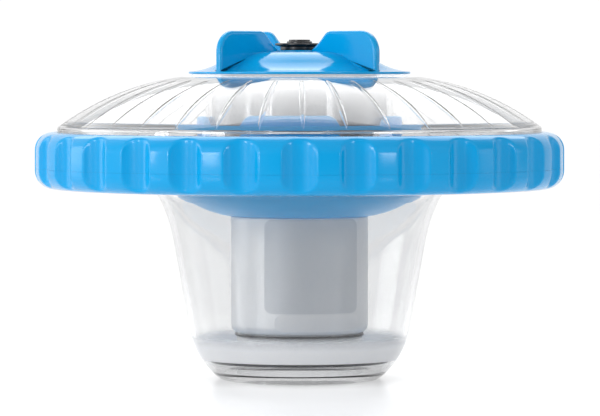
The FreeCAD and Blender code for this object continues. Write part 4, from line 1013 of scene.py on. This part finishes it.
def pale_floor():
    """Milky acrylic lit from below: softly glossy, with faint mottling. Its glow is painted light, brightest
    round the object, where it fills in the object's shadow. It drops right under the foot as a painted
    shadow of the foot, and rises again far away, up to a white horizon."""
    top = Finish("table_top_white", Emission_Strength=1.0)
    mottle = top.noise(40)
    top.feed(Base_Color=top.blend(mottle, rgb(212, 212, 213), rgb(208, 208, 209)))
    # Painted light and shade: more glow round the object fills in its shadow, and less right under the foot
    # paints a contact shadow.
    below = top.ramp(top.away(), 0.5, 0.04, smooth=True)
    painted_foot_shadow = top.ramp(top.away(), 0.06, 0.03, smooth=True)
    beyond = top.ramp(top.away(), 0.6, 1.6)
    glow = below * 0.36 - painted_foot_shadow * 0.2 + beyond * 0.11 + 0.1
    top.feed(Emission_Color=top.blend(glow, BLACK, WHITE))
    top.feed(Roughness=mottle * 0.06 + 0.2)
    return top.material


corners = [(x * TABLE_HALF, y * TABLE_HALF, 0) for x, y in [(-1, -1), (1, -1), (1, 1), (-1, 1)]]
mesh = bpy.data.meshes.new("table_top")
mesh.from_pydata(corners, [], [(0, 1, 2, 3)])
mesh.materials.append(pale_floor())
table_top = bpy.data.objects.new("table_top", mesh)
bpy.context.scene.collection.objects.link(table_top)
print("table: %.0f m across" % (2 * TABLE_HALF))

# %% [markdown]
# ## The surround
# Clear plastic shows little of itself: what is seen is the room, bent and mirrored. An even white room would
# wash its edges out. So the sky is white behind the object, where it shines through, and dim in front, where
# it would only be mirrored. Ramps over the direction do that, and no picture of a room is needed.

# %% Turn the sky white
def white_surround():
    """A sky that is white behind the object, brighter overhead, in two lobes at the front left and right and
    in two small patches further round, and dim towards the camera, so that clear walls get darker edges."""
    sky = bpy.data.worlds.new("white_surround")
    sky.use_nodes = True
    web = Web(sky.node_tree, "Generated")
    behind = web.ramp(web.along((-0.35, 0.94, 0)), 0.0, 0.6, smooth=True)
    overhead = web.ramp(web.along((0, -0.3, 0.95)), 0.35, 0.95, smooth=True)
    left_lobe = web.ramp(web.along((-0.77, -0.61, 0.17)), 0.72, 0.97, smooth=True)
    right_lobe = web.ramp(web.along((0.8, -0.5, 0.33)), 0.8, 0.98, smooth=True)
    left_side = web.ramp(web.along((-0.94, 0.31, 0.14)), 0.94, 0.985, smooth=True)
    right_side = web.ramp(web.along((0.985, 0.09, 0.14)), 0.95, 0.99, smooth=True)
    lobes = left_lobe * 1.5 + right_lobe * 0.5
    sides = left_side * 2.2 + right_side * 1.4
    strength = behind * 0.72 + overhead * 0.4 + lobes + sides + 0.32
    background = sky.node_tree.nodes["Background"]
    sky.node_tree.links.new(strength.socket, background.inputs["Strength"])
    background.inputs["Color"].default_value = WHITE
    bpy.context.scene.world = sky


white_surround()
print("sky nodes:", len(bpy.context.scene.world.node_tree.nodes))

# %% [markdown]
# ## Soft boxes
# The sky alone would leave the coloured pieces flat. Tall soft boxes at both sides draw their long lights
# into each scallop and down the can, and a wide one above and behind lights the wings and the roof. Area
# lights have the soft edge of a real box, which point lights don't.

# %% Set up the boxes
def soft_box(name, place, target, size, brightness):
    """An area light that looks from its place to a target, in metres. A face of this size sends out
    pi * area * brightness watts."""
    light = bpy.data.lights.new(name, "AREA")
    light.shape = "RECTANGLE"
    light.size, light.size_y = size
    light.energy = math.pi * size[0] * size[1] * brightness
    lamp = bpy.data.objects.new(name, light)
    bpy.context.scene.collection.objects.link(lamp)
    lamp.location = place
    lamp.rotation_euler = (Vector(target) - Vector(place)).to_track_quat("-Z", "Y").to_euler()
    print("%s: %.2f W" % (name, light.energy))


BOX_LEVEL = 0.28
soft_box("left_box", (-0.8, -1.0, BOX_LEVEL), (0, 0, BOX_LEVEL), (0.24, 0.34), 10.5)
soft_box("side_box", (-1.18, -0.55, BOX_LEVEL), (0, 0, BOX_LEVEL), (0.16, 0.34), 8.5)
soft_box("right_box", (0.79, -1.03, BOX_LEVEL), (0, 0, BOX_LEVEL), (0.2, 0.3), 8.5)
soft_box("roof_box", (0.0, 0.75, 0.95), (0, 0, 0.1), (1.3, 0.9), 1.8)

# %% [markdown]
# ## The camera
# Product shots are taken from afar with a long lens, so that near parts don't bulge. This camera stands at
# the height of the knob and looks a little down, at the middle of the lamp, which shows the roof of the dome
# and the top of the ring.

# %% Place the camera
EYE_SIDE, EYE_DISTANCE, EYE_HEIGHT, AIM_HEIGHT = 0.0002, 1.554, 0.1306, 0.0718
LENS, SENSOR = 222, 36
camera_data = bpy.data.cameras.new("studio_camera")
camera_data.lens = LENS
camera_data.sensor_width = SENSOR
camera = bpy.data.objects.new("studio_camera", camera_data)
camera.location = (EYE_SIDE, -EYE_DISTANCE, EYE_HEIGHT)
tilt = math.atan((EYE_HEIGHT - AIM_HEIGHT) / EYE_DISTANCE)
camera.rotation_euler = (math.radians(90) - tilt, 0, 0)
bpy.context.scene.collection.objects.link(camera)
bpy.context.scene.camera = camera
bpy.context.scene.view_settings.view_transform = "Standard"
print("the lens sees %.0f mm at the object" % (EYE_DISTANCE * SENSOR / LENS / MM))
